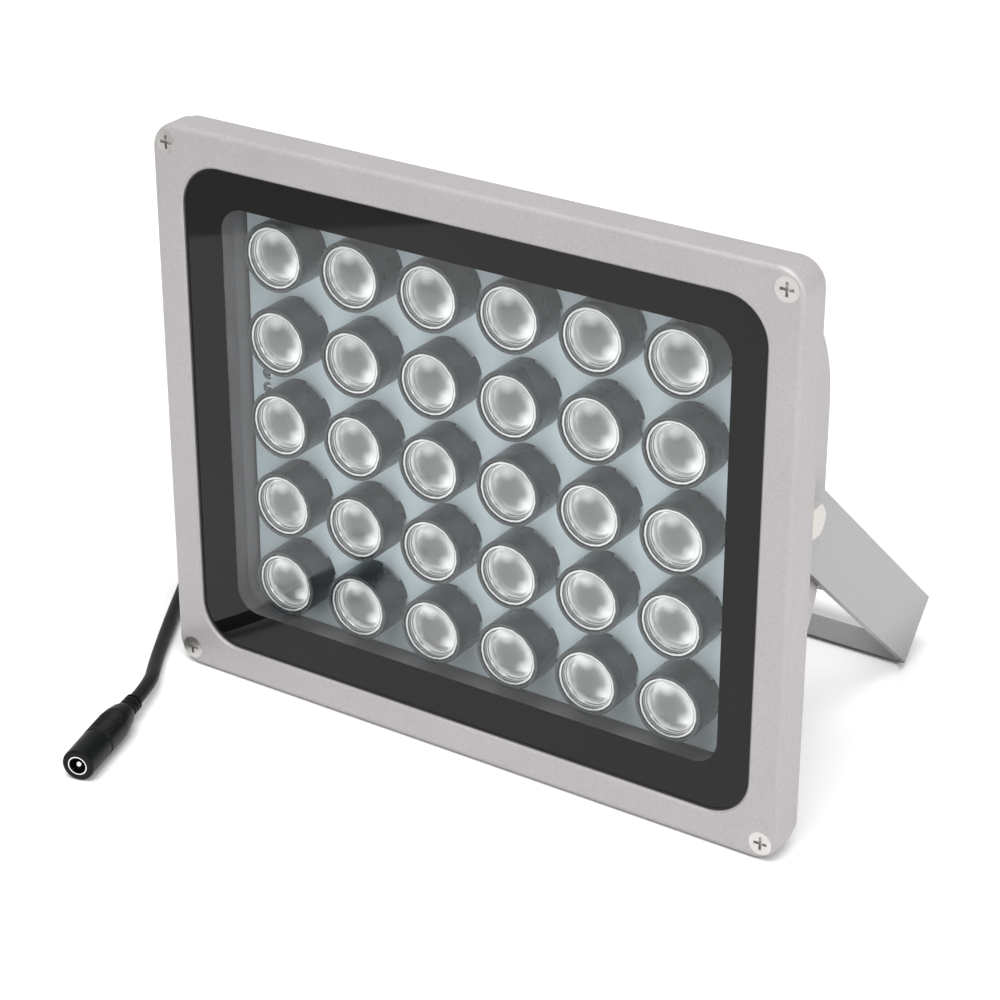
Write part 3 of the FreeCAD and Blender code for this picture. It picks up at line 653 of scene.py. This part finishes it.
class Workshop:
    """Makes pieces and materials, and puts them on the lamp."""

    def __init__(self, place: Place) -> None:
        """Start with no materials made.

        Args:
            place: Where the lamp's axes lie.
        """
        self.place = place
        self.materials: dict[str, bpy.types.Material] = {}

    def material(self, finish: Finish | ClearPane | LensOptic) -> bpy.types.Material:
        """The material of a finish, made once.

        Args:
            finish: The finish.

        Returns:
            Its material.
        """
        if finish.name not in self.materials:
            self.materials[finish.name] = finish.make()
        return self.materials[finish.name]

    def dress(self, finish: Finish | ClearPane | LensOptic, *nodes: str) -> None:
        """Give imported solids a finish.

        Args:
            finish: The finish.
            nodes: Their node names.
        """
        material = self.material(finish)
        for node in nodes:
            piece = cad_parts[node]
            if not piece.material_slots:
                piece.data.materials.append(material)
            for slot in piece.material_slots:
                slot.link = "OBJECT"
                slot.material = material
        log.info("%s on %s", finish.name, ", ".join(nodes))

    def piece(
        self,
        name: str,
        shell: Shell,
        finish: Finish | ClearPane | LensOptic,
        body: Body,
        slot: str,
        stands_for: Sequence[str] = (),
        crease: float = 35.0,
    ) -> bpy.types.Object:
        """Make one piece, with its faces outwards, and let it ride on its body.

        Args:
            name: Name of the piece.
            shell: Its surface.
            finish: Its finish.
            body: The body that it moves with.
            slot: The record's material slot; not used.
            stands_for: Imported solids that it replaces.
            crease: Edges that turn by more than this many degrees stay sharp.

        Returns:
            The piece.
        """
        mesh = bpy.data.meshes.new(name)
        mesh.vertices.add(len(shell.points))
        mesh.vertices.foreach_set("co", self.place.points(shell.points).astype(np.float32).ravel())
        mesh.loops.add(shell.faces.size)
        mesh.loops.foreach_set("vertex_index", shell.faces.astype(np.int32).ravel())
        mesh.polygons.add(len(shell.faces))
        mesh.polygons.foreach_set("loop_start", np.arange(0, shell.faces.size, 4, dtype=np.int32))
        mesh.update(calc_edges=True)
        spot = mesh.attributes.new("spot", "FLOAT_VECTOR", "POINT")
        spot.data.foreach_set("vector", shell.spot.astype(np.float32).ravel())
        work = bmesh.new()
        work.from_mesh(mesh)
        bmesh.ops.remove_doubles(work, verts=work.verts, dist=2e-6)
        bmesh.ops.recalc_face_normals(work, faces=work.faces)
        work.to_mesh(mesh)
        work.free()
        mesh.shade_smooth()
        mesh.set_sharp_from_angle(angle=math.radians(crease))
        mesh.materials.append(self.material(finish))
        piece = bpy.data.objects.new(name, mesh)
        bpy.context.scene.collection.objects.link(piece)
        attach(piece, body.value)
        if stands_for:
            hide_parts(*stands_for)
        log.info("%s: %d faces", name, len(mesh.polygons))
        return piece


@dataclass
class Glazing:
    """Cover glass under the bezel's lip, with a black border of fired enamel on its front.

    Attributes:
        front: Depth of the glass's front face.
        window_x: Half the width of the clear window.
        window_up: Half the height of the window.
        window_corner: Radius of the window's corners.
        window_middle: Where the middle of the window is, x and up.
        ink: Thickness of the enamel.
        lip_x: Half the width of the bezel's opening.
        lip_up: Half the height of the bezel's opening.
        lip_corner: Radius of the opening's corners.
        bead: Width of the black bead along the lip, a painted shadow under the lip.
        bead_height: How far the bead stands out from the glass.
        bead_gap: Gap between the bead and the lip.
        corner_steps: Points on each corner.
    """

    front: float = field(default_factory=lambda: front_of("cover_glass"))
    window_x: float = 89.0
    window_up: float = 69.4
    window_corner: float = 8.5
    window_middle: tuple[float, float] = (1.2, 1.35)
    ink: float = 0.04
    lip_x: float = 101.7
    lip_up: float = 82.7
    lip_corner: float = 14.3
    bead: float = 0.55
    bead_height: float = 0.34
    bead_gap: float = 0.03
    corner_steps: int = 16

    def opening(self, inset: float) -> np.ndarray:
        """Outline of the bezel's opening, set in by a distance."""
        return rounded_outline(
            self.lip_x - inset, self.lip_up - inset, self.lip_corner - inset, self.corner_steps,
        )

    def border(self) -> Shell:
        """Flat ring between the window's outline and the bead.

        Returns:
            The closed ring.
        """
        window = rounded_outline(self.window_x, self.window_up, self.window_corner, self.corner_steps)
        rear = self.front - SKIN
        return self.ring(
            self.opening(self.bead + SKIN), window + np.array(self.window_middle), rear - self.ink, rear,
        )

    def seal(self) -> Shell:
        """Black bead along the bezel's lip, on the front of the glass: a painted shadow under the lip.

        Returns:
            The closed bead.
        """
        rear = self.front - SKIN
        return self.ring(self.opening(self.bead_gap), self.opening(self.bead), rear - self.bead_height, rear)

    @staticmethod
    def ring(outer: np.ndarray, inner: np.ndarray, front: float, rear: float) -> Shell:
        """Join two outlines into a flat ring.

        Both outlines have the same number of points, so point j of one faces point j of the other. Row s of
        the grid is (1 - s) times the outer outline plus s times the inner one, first at the front and then
        back at the rear.

        Args:
            outer: Rows of (x, up) of the outer outline.
            inner: Rows of (x, up) of the inner outline.
            front: Depth of its front face.
            rear: Depth of its rear face.

        Returns:
            The closed ring.
        """
        share = np.linspace(0.0, 1.0, 4)
        share = np.concatenate([share, share[::-1]])[:, None]
        x = (1.0 - share) * outer[:, 0] + share * inner[:, 0]
        up = (1.0 - share) * outer[:, 1] + share * inner[:, 1]
        depth = np.repeat(np.array([front, rear]), len(share) // 2)[:, None] + np.zeros_like(x)
        return Shell.grid(np.stack([x, depth, up], axis=-1), wrap_rows=True)

    def build(self, shop: Workshop) -> None:
        """Add the border and the bead of painted shadow, and dress the glass and its gasket.

        Args:
            shop: The workshop.
        """
        shop.piece("printed_border", self.border(), ENAMEL, Body.HEAD, "glass")
        # Painted shadow: a black bead where the lip shades the glass.
        shop.piece("lip_shadow_bead", self.seal(), GASKET, Body.HEAD, "gasket_rubber")
        shop.dress(PANE, "cover_glass")
        shop.dress(GASKET, "glass_gasket")


@dataclass
class Optics:
    """Thirty holders on the emitter board, each with a moulded lens.

    Attributes:
        columns: Lenses in a row.
        rows: Number of rows.
        board: Depth of the board's front face.
        front: Depth of the holders' front ends.
        radius: Outer radius of a holder.
        bore: Inner radius of a holder.
        foot: Height of the notches between a holder's feet.
        notches: Middle and width in degrees of each notch.
        steps: Points round a lens.
        flange: Points of the lens's flange, each a radius and a depth behind the mouth, as in all profiles.
        step: Points of the step down its wall.
        tail: Points of its narrow rear end.
        dome_radius: Radius of the domed middle.
        dome_apex: Depth of its apex behind the mouth.
        dome_rise: How far the apex stands out from the dome's edge.
    """

    columns: int = 6
    rows: int = 5
    board: float = field(default_factory=lambda: front_of("led_board"))
    front: float = field(default_factory=lambda: front_of("lens_holder_row_1"))
    radius: float = 11.2
    bore: float = 10.1
    foot: float = 1.7
    notches: tuple[tuple[float, float], ...] = ((-5.0, 26.0), (60.0, 41.0), (175.0, 26.0), (240.0, 41.0))
    steps: int = 96
    flange: tuple[tuple[float, float], ...] = (
        (9.98, 2.7), (9.98, 0.55), (9.9, 0.42), (9.75, 0.34),
        (9.2, 0.3), (8.95, 0.36), (8.8, 0.5), (8.72, 0.9),
    )
    step: tuple[tuple[float, float], ...] = ((8.62, 1.5), (8.5, 2.2), (8.3, 2.5))
    tail: tuple[tuple[float, float], ...] = ((0.0, 10.1), (4.6, 10.1))
    dome_radius: float = 8.1
    dome_apex: float = 1.3
    dome_rise: float = 1.25

    def centres(self, row: int) -> list[tuple[float, float]]:
        """Centres of one row's lenses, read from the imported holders.

        Args:
            row: Number of the row, 1 at the top.

        Returns:
            Pairs of x and up, in millimetres.
        """
        low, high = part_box(f"lens_holder_row_{row}")
        bezel_low, bezel_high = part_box("front_bezel")
        up = ((low.z + high.z) - (bezel_low.z + bezel_high.z)) / 2 / MM
        reach = (high.x - low.x) / 2 / MM - self.radius
        middle = (high.x + low.x) / 2 / MM
        return [(middle + x, up) for x in np.linspace(-reach, reach, self.columns)]

    def holder(self) -> Shell:
        """Tube with a rounded mouth, whose rear end is cut away between its feet.

        Along the profile the radius and the depth are those of the tube's wall. Where angle a lies in a
        notch, the rear depth is less by the foot's height: rear(a) = board - foot for
        |a - middle| < width / 2, and board elsewhere.

        Returns:
            The closed tube, standing on the board.
        """
        edges = [middle + side * width / 2 for middle, width in self.notches for side in (-1, 1)]
        fine = np.concatenate([np.array(edges) - 0.3, np.array(edges) + 0.3])
        angle = np.sort(np.concatenate([np.degrees(even_turn(self.steps)), fine % 360.0]))
        away = [
            np.abs((angle - middle + 180.0) % 360.0 - 180.0) - width / 2 for middle, width in self.notches
        ]
        rear = np.where(np.min(away, axis=0) < 0.0, self.board - self.foot, self.board)
        inside = [(self.bore, 1.0), (self.bore, 0.06), (self.bore, 0.02), (self.bore + 0.08, 0.0)]
        mouth = [(self.radius - 0.3, 0.0), (self.radius - 0.09, 0.008)]
        wall = inside + mouth + [(self.radius, share) for share in (0.03, 0.3, 0.6, 1.0)]
        radius, share = np.array(wall).T
        turn = np.radians(angle)
        depth = self.front + share[:, None] * (rear - self.front)[None, :]
        points = np.stack([radius[:, None] * np.cos(turn), depth, radius[:, None] * np.sin(turn)], axis=-1)
        return Shell.grid(points, wrap_rows=True)

    def lens(self) -> Shell:
        """Moulded optic: a flange, a step down its wall and a domed middle.

        The profile runs from the flange's rim inwards, with depths behind the holder's mouth. The middle is
        a dome whose depth grows with the square of the radius: d(r) = apex + rise (r / r0)^2.

        Returns:
            The closed lens in its holder.
        """
        edge = self.dome_radius
        dome = [(r, self.dome_apex + self.dome_rise * (r / edge) ** 2) for r in np.linspace(edge, 0.0, 18)]
        profile = [(r, self.front + depth) for r, depth in [*self.flange, *self.step, *dome, *self.tail]]
        return turned(profile, even_turn(self.steps), closed=True)

    def build(self, shop: Workshop) -> None:
        """Add each row of holders and lenses, and dress the emitters.

        Args:
            shop: The workshop.
        """
        holder, lens = self.holder(), self.lens()
        for row in range(1, self.rows + 1):
            centres = self.centres(row)
            holders = Shell.joined([holder.moved(x, 0.0, up) for x, up in centres])
            lenses = Shell.joined([lens.moved(x, 0.0, up) for x, up in centres])
            shop.piece(
                f"holders_{row}", holders, HOLDER, Body.HEAD, "holder_plastic", [f"lens_holder_row_{row}"],
            )
            shop.piece(f"lenses_{row}", lenses, OPTIC, Body.HEAD, "lens_acrylic", [f"lens_row_{row}"], 50.0)
        shop.dress(EMITTER, *[f"emitter_row_{row}" for row in range(1, self.rows + 1)])


@dataclass
class Electronics:
    """Emitter board, driver board and the leads between them.

    Attributes:
        joints: Centres of the two solder joints, x and up.
        board: Depth of the emitter board's front face.
        pad: Radius of a joint at its foot.
        hollow: How much narrower it is at its top.
        height: Height of a joint.
    """

    joints: tuple[tuple[float, float], ...] = ((-84.6, 10.0), (-84.6, 5.0))
    board: float = field(default_factory=lambda: front_of("led_board"))
    pad: float = 2.0
    hollow: float = 1.15
    height: float = 1.0

    def joint(self) -> Shell:
        """Solder up a lead's end: its radius falls by a quarter sine while it rises with the power 1.6.

        Returns:
            The closed joint, on the board's face.
        """
        foot = self.board - 2 * SKIN
        share = np.linspace(0.0, 1.0, 8)
        flank = [
            (self.pad - self.hollow * math.sin(s * math.pi / 2), foot - self.height * s ** 1.6)
            for s in share
        ]
        return turned([(0.0, self.board - 0.001)] + flank + [(0.0, self.board - 1.1)], even_turn(28))

    def build(self, shop: Workshop) -> None:
        """Add the solder joints and dress the boards and what they carry.

        Args:
            shop: The workshop.
        """
        joint = self.joint()
        joints = Shell.joined([joint.moved(x, 0.0, up) for x, up in self.joints])
        shop.piece("solder_joints", joints, SOLDER, Body.HEAD, "board_metal")
        shop.dress(MASK, "led_board")
        shop.dress(FIBRE, "driver_board")
        shop.dress(FERRITE, "driver_inductor")
        shop.dress(CAN, "driver_capacitors")
        shop.dress(CHIP, "driver_chips")
        shop.dress(LEAD, "led_leads", "supply_leads")
        shop.dress(STEEL, "driver_screws")


@dataclass
class Casting:
    """Bezel, rear housing and fins under one sprayed paint, with the bezel's screws."""

    painted: tuple[str, ...] = ("front_bezel", "cooling_fins", "end_fins")

    def build(self, shop: Workshop) -> None:
        """Dress the castings and the screws.

        Args:
            shop: The workshop.
        """
        shop.dress(PAINT, *self.painted)
        shop.dress(HOUSING_PAINT, "rear_housing")
        shop.dress(STEEL, "bezel_screws")


@dataclass
class Mounting:
    """U bracket with its pivot bolts and washers."""

    def build(self, shop: Workshop) -> None:
        """Dress the bracket and its hardware.

        Args:
            shop: The workshop.
        """
        shop.dress(STRIP_PAINT, "mounting_bracket")
        shop.dress(BOLT, "pivot_bolts")
        shop.dress(STEEL, "spring_washers")
        shop.dress(NYLON, "friction_washers")


@dataclass
class PowerLead:
    """Cable from the gland down to the floor, ending in a barrel socket.

    Attributes:
        table: Height of the floor on the lamp's own axes.
        diameter: Diameter of the cable.
        length: Length of the free cable; not used.
        exit: Where it leaves the gland.
        plug_rear: Rear end of the socket's shell.
        heading: Direction from the cable to the socket's mouth.
        relief: Length of the slotted strain relief.
        taper: Length of the taper before the grip.
        grip: Length of the ribbed grip.
        barrel: Length of the smooth barrel.
        bore: Radius of the bore for the metal sleeve.
        bore_depth: Its depth.
        slot_pitch: Distance from slot to slot of the relief.
        slot_depth: Depth of a slot.
        rib_pitch: Distance from rib to rib of the grip.
        rib_height: Height of a rib.
        panel_depth: How deep the grip's two panels are sunk.
        contact: Radius of the centre contact.
    """

    table: float = field(default_factory=lambda: -half_height_of("front_bezel"))
    diameter: float = 4.6
    length: float = 185.0
    exit: tuple[float, float, float] = (-111.3, 26.5, -30.0)
    plug_rear: tuple[float, float, float] = (-100.7, -37.4, -88.5)
    heading: tuple[float, float, float] = (0.261085, -0.965316, 0.0)
    relief: float = 7.0
    taper: float = 5.5
    grip: float = 14.5
    barrel: float = 13.99
    bore: float = 3.15
    bore_depth: float = 9.5
    slot_pitch: float = 2.1
    slot_depth: float = 0.75
    rib_pitch: float = 0.95
    rib_height: float = 0.26
    panel_depth: float = 0.32
    contact: float = 1.0

    def route(self) -> np.ndarray:
        """Control points of the cable: straight out of the gland, down in one bow, and along the floor.

        Returns:
            Rows of (x, depth, up), in millimetres.
        """
        table = self.table
        rear, heading = np.array(self.plug_rear), np.array(self.heading)
        return np.array([
            self.exit,
            (self.exit[0] - 12.7, self.exit[1], self.exit[2]),
            (-135.7, 32.3, table + 60.0),
            (-144.0, 42.4, table + 48.5),
            (-147.3, 51.1, table + 33.5),
            (-147.1, 53.7, table + 18.5),
            (-145.0, 47.7, table + 7.0),
            (-140.0, 36.1, table + 2.6),
            (-128.9, 15.1, table + 2.4),
            (-113.4, -11.9, table + 2.9),
            rear - heading * 13.0,
            rear,
        ])

    def curve(self, shop: Workshop, name: str, thickness: float) -> bpy.types.Object:
        """Smooth curve whose control points are the route.

        Args:
            shop: The workshop.
            name: Name of the curve.
            thickness: Diameter, or 0 for a bare line.

        Returns:
            The curve, not yet riding on anything.
        """
        data = bpy.data.curves.new(name, "CURVE")
        data.dimensions = "3D"
        data.resolution_u = 24
        data.bevel_depth = thickness / 2 * MM
        data.bevel_resolution = 8
        data.use_fill_caps = thickness > 0
        spline = data.splines.new("NURBS")
        points = shop.place.points(self.route())
        spline.points.add(len(points) - 1)
        spline.points.foreach_set("co", np.column_stack([points, np.ones(len(points))]).ravel())
        spline.order_u = 3
        spline.use_endpoint_u = True
        curve = bpy.data.objects.new(name, data)
        bpy.context.scene.collection.objects.link(curve)
        return curve

    @property
    def whole(self) -> float:
        """Length of the socket from its rear end to its mouth."""
        return self.relief + self.taper + self.grip + self.barrel

    def socket(self) -> Shell:
        """Moulded shell of the socket: radius r(t, a) along its axis t and round it at angle a.

        r is the turned profile less two patterns. In the strain relief, slots of a half sine in t are cut
        everywhere but on two bridges. On the grip, a panel on each side is sunk, with fine ribs of a sine
        in t across it.

        Returns:
            The shell with its bore, at its place on the floor.
        """
        start, rise = self.relief, self.relief + self.taper
        barrel, end = rise + self.grip, self.whole
        knots = [
            (0.0, 2.75), (0.3, 3.0), (start, 3.15), (start + 0.3, 3.6), (start + 2.0, 4.2), (rise, 4.85),
            (rise + 3.0, 5.25), (barrel - 0.4, 5.3), (barrel - 0.1, 5.0), (barrel + 0.3, 5.0),
            (barrel + 0.5, 5.2), (end - 0.7, 5.2), (end - 0.3, 5.08), (end, 4.6),
        ]
        along = np.unique(np.concatenate([np.linspace(0.0, end, 190), np.array([t for t, _ in knots])]))
        base = np.interp(along, [t for t, _ in knots], [r for _, r in knots])
        angle = even_turn(72)
        t, a = np.meshgrid(along, angle, indexing="ij")
        slot = (
            np.clip(np.sin((t - 0.5) / self.slot_pitch * TURN - 0.6) * 3.0, 0.0, 1.0)
            * (t > 0.6) * (t < start - 0.3)
        )
        bridge = np.clip((np.abs(np.sin(a - math.pi / 4)) - 0.25) * 8.0, 0.0, 1.0)
        inside = np.clip((t - rise - 0.8) * 3.0, 0.0, 1.0) * np.clip((barrel - 0.6 - t) * 3.0, 0.0, 1.0)
        panel = inside * np.clip((np.abs(np.sin(a)) - 0.55) * 12.0, 0.0, 1.0)
        ribs = 0.5 + 0.5 * np.sin((t - rise) / self.rib_pitch * TURN)
        radius = (
            base[:, None] - self.slot_depth * slot * bridge
            - panel * (self.panel_depth - self.rib_height * ribs)
        )
        floor = end - self.bore_depth
        bore = [
            (end, 4.4), (end, self.bore + 0.15), (end - 0.15, self.bore), (floor, self.bore), (floor, 0.0),
        ]
        inner = np.array([[r] * len(angle) for _, r in bore])
        radius = np.concatenate([np.zeros((1, len(angle))), radius, inner])
        t = np.concatenate([np.zeros((1, len(angle))), t, np.array([[s] * len(angle) for s, _ in bore])])
        a = np.broadcast_to(angle, t.shape)
        return self.laid(Shell.grid(np.stack([radius * np.cos(a), t, radius * np.sin(a)], axis=-1)))

    def laid(self, shell: Shell) -> Shell:
        """Lay a shape made along the depth axis onto the socket's axis.

        Args:
            shell: Shape with depth 0 at the socket's rear end.

        Returns:
            The shape at its place on the floor.
        """
        heading = np.array(self.heading)
        side = np.cross(heading, np.array([0.0, 0.0, 1.0]))
        basis = np.stack([side, heading, np.array([0.0, 0.0, 1.0])])
        return Shell(shell.points @ basis + np.array(self.plug_rear), shell.faces, shell.spot)

    def pin(self) -> Shell:
        """Centre contact with a round tip: r(d) = R sqrt(1 - (d / R)^2) over its last radius.

        Returns:
            The pin, standing on the bottom of the bore.
        """
        radius, foot = self.contact, self.whole - self.bore_depth
        shoulder = self.whole - 0.5 - radius
        cap = [
            (radius * math.cos(s), shoulder + radius * math.sin(s))
            for s in np.linspace(0.0, math.pi / 2, 8)
        ]
        return self.laid(turned([(0.0, foot), (radius, foot)] + cap, even_turn(24)))

    def build(self, shop: Workshop) -> None:
        """Add the cable and its socket, and dress the gland.

        Args:
            shop: The workshop.
        """
        shell = shop.piece("socket_shell", self.socket(), PLUG, Body.HEAD, "plug_plastic", ["plug_shell"])
        pin = shop.piece("centre_pin", self.pin(), CONTACT, Body.HEAD, "contact_metal", ["socket_pin"])
        shop.dress(CONTACT, "socket_sleeve")
        cable = self.curve(shop, "power_lead", self.diameter)
        cable.data.materials.append(shop.material(JACKET))
        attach(cable, Body.HEAD.value)
        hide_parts("power_cable")
        exit_point = shop.place.points(np.array([self.exit]))[0]
        shop.dress(NYLON_BLACK, "gland_body", "gland_nut")
        shop.dress(GASKET, "gland_seal", "gland_bush")
        shop.dress(JACKET, "inner_cable")
        log.info("power lead with %d control points", len(self.route()))


@dataclass
class Studio:
    """Pale floor, soft light and the camera at the photograph's viewing angle.

    Attributes:
        eye: Where the camera stands, in metres.
        right: Its right, as a unit vector.
        above: Its up, as a unit vector.
        back: Out of its back, as a unit vector.
        lens: Focal length in millimetres.
        sensor: Width of the sensor in millimetres.
        daylight: Strength of the even light from all round.
        table: Half the width of the floor.
        card_corner: A point of the grey card's near edge, x and depth.
        card_along: Direction of that edge.
        card_out: Direction from the edge out over the card.
    """

    eye: tuple[float, float, float] = (0.43364, -0.70576, 0.47054)
    right: tuple[float, float, float] = (0.833976, 0.551801, 0.000781)
    above: tuple[float, float, float] = (-0.245948, 0.370453, 0.895697)
    back: tuple[float, float, float] = (0.493957, -0.747182, 0.444663)
    lens: float = 103.04
    sensor: float = 36.0
    daylight: float = 0.7
    table: float = 6000.0
    card_corner: tuple[float, float] = (-353.0, -298.5)
    card_along: tuple[float, float] = (0.74, -0.672)
    card_out: tuple[float, float] = (-0.672, -0.74)

    def camera(self) -> None:
        """Set the camera up and make it the scene's own."""
        data = bpy.data.cameras.new("photo_camera")
        data.lens = self.lens
        data.sensor_width = self.sensor
        data.clip_start, data.clip_end = 0.01, 60.0
        camera = bpy.data.objects.new("photo_camera", data)
        bpy.context.scene.collection.objects.link(camera)
        turn = Matrix((self.right, self.above, self.back)).transposed().to_4x4()
        camera.matrix_world = Matrix.Translation(Vector(self.eye)) @ turn
        bpy.context.scene.camera = camera

    def softbox(self, name: str, at: Colour, target: Colour, size: float, power: float) -> None:
        """Add a square lamp that faces a point.

        Args:
            name: Its name.
            at: Where it hangs, in metres.
            target: What it faces.
            size: Its side.
            power: Its power in watts.
        """
        data = bpy.data.lights.new(name, "AREA")
        data.shape = "SQUARE"
        data.size = size
        data.energy = power
        lamp = bpy.data.objects.new(name, data)
        bpy.context.scene.collection.objects.link(lamp)
        away = Vector(at) - Vector(target)
        lamp.rotation_euler = away.to_track_quat("Z", "Y").to_euler()
        lamp.location = at

    def floor(self, shop: Workshop) -> None:
        """Add a wide pale floor at the lamp's foot.

        Args:
            shop: The workshop.
        """
        side = np.linspace(-self.table, self.table, 3)
        x, depth = np.meshgrid(side, side, indexing="ij")
        sheet = np.stack([x, depth, np.full_like(x, -half_height_of("front_bezel"))], axis=-1)
        paper = Finish(
            "white_sweep", (0.93, 0.93, 0.93), (0.92, 0.92, 0.92), 3.0, 400.0, 0.01, (0.7, 0.8), shine=0.1,
        )
        self.sheet(shop, "floor", sheet, paper)

    def shade(self, shop: Workshop) -> None:
        """Lay a grey card before the lamp, past a slanting edge, for its mirror image in the upper glass.

        Point (s, r) of the card is its corner plus s along its near edge plus r out from the edge.

        Args:
            shop: The workshop.
        """
        span, reach = np.meshgrid(np.linspace(-2000.0, 2500.0, 3), np.linspace(0.0, 3500.0, 3), indexing="ij")
        along, out = np.array(self.card_along), np.array(self.card_out)
        flat = np.array(self.card_corner) + span[..., None] * along + reach[..., None] * out
        points = np.concatenate([flat, np.full((3, 3, 1), 1.0 - half_height_of("front_bezel"))], axis=-1)
        grey = Finish(
            "grey_card", (0.42, 0.42, 0.42), (0.38, 0.38, 0.38), 3.0, 400.0, 0.01, (0.7, 0.8), shine=0.1,
        )
        card = self.sheet(shop, "shade_card", points, grey)
        card.visible_camera = card.visible_diffuse = card.visible_shadow = card.visible_transmission = False

    def sheet(self, shop: Workshop, name: str, points: np.ndarray, finish: Finish) -> bpy.types.Object:
        """Add a flat sheet of the studio.

        Args:
            shop: The workshop.
            name: Name of the sheet.
            points: Grid of its points.
            finish: Its finish.

        Returns:
            The sheet, which isn't part of the lamp.
        """
        shell = Shell.grid(points, wrap_columns=False)
        mesh = bpy.data.meshes.new(name)
        mesh.from_pydata(shop.place.points(shell.points).tolist(), [], shell.faces[:, ::-1].tolist())
        mesh.materials.append(shop.material(finish))
        sheet = bpy.data.objects.new(name, mesh)
        bpy.context.scene.collection.objects.link(sheet)
        sheet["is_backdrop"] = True
        return sheet

    def build(self, shop: Workshop) -> None:
        """Add the camera, the lights and the floor.

        Args:
            shop: The workshop.
        """
        scene = bpy.context.scene
        scene.view_settings.view_transform = "Standard"
        world = bpy.data.worlds.new("studio")
        world.use_nodes = True
        light = world.node_tree.nodes["Background"].inputs
        light["Color"].default_value = (1.0, 1.0, 1.0, 1.0)
        light["Strength"].default_value = self.daylight
        scene.world = world
        self.camera()
        self.floor(shop)
        self.shade(shop)
        self.softbox("top_softbox", (0.25, -1.1, 3.2), (0.0, 0.0, 0.05), 2.4, 95.0)
        self.softbox("side_softbox", (3.1, -1.9, 2.2), (0.0, 0.0, 0.08), 1.8, 52.0)
        log.info("studio ready")


def corners() -> list[list[float]]:
    """The shown object's lowest and highest corner as plain numbers."""
    return [[float(value) for value in corner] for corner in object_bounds()]


def main() -> None:
    """Build the lamp's assemblies in order."""
    logging.basicConfig(level=logging.INFO, format="%(name)s: %(message)s")
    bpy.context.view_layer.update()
    shop = Workshop(Place.of_lamp())
    for part in (Studio(), PowerLead(), Casting(), Glazing(), Optics(), Electronics(), Mounting()):
        part.build(shop)
        log.info("%s done", type(part).__name__)


if __name__ == "__main__":
    main()
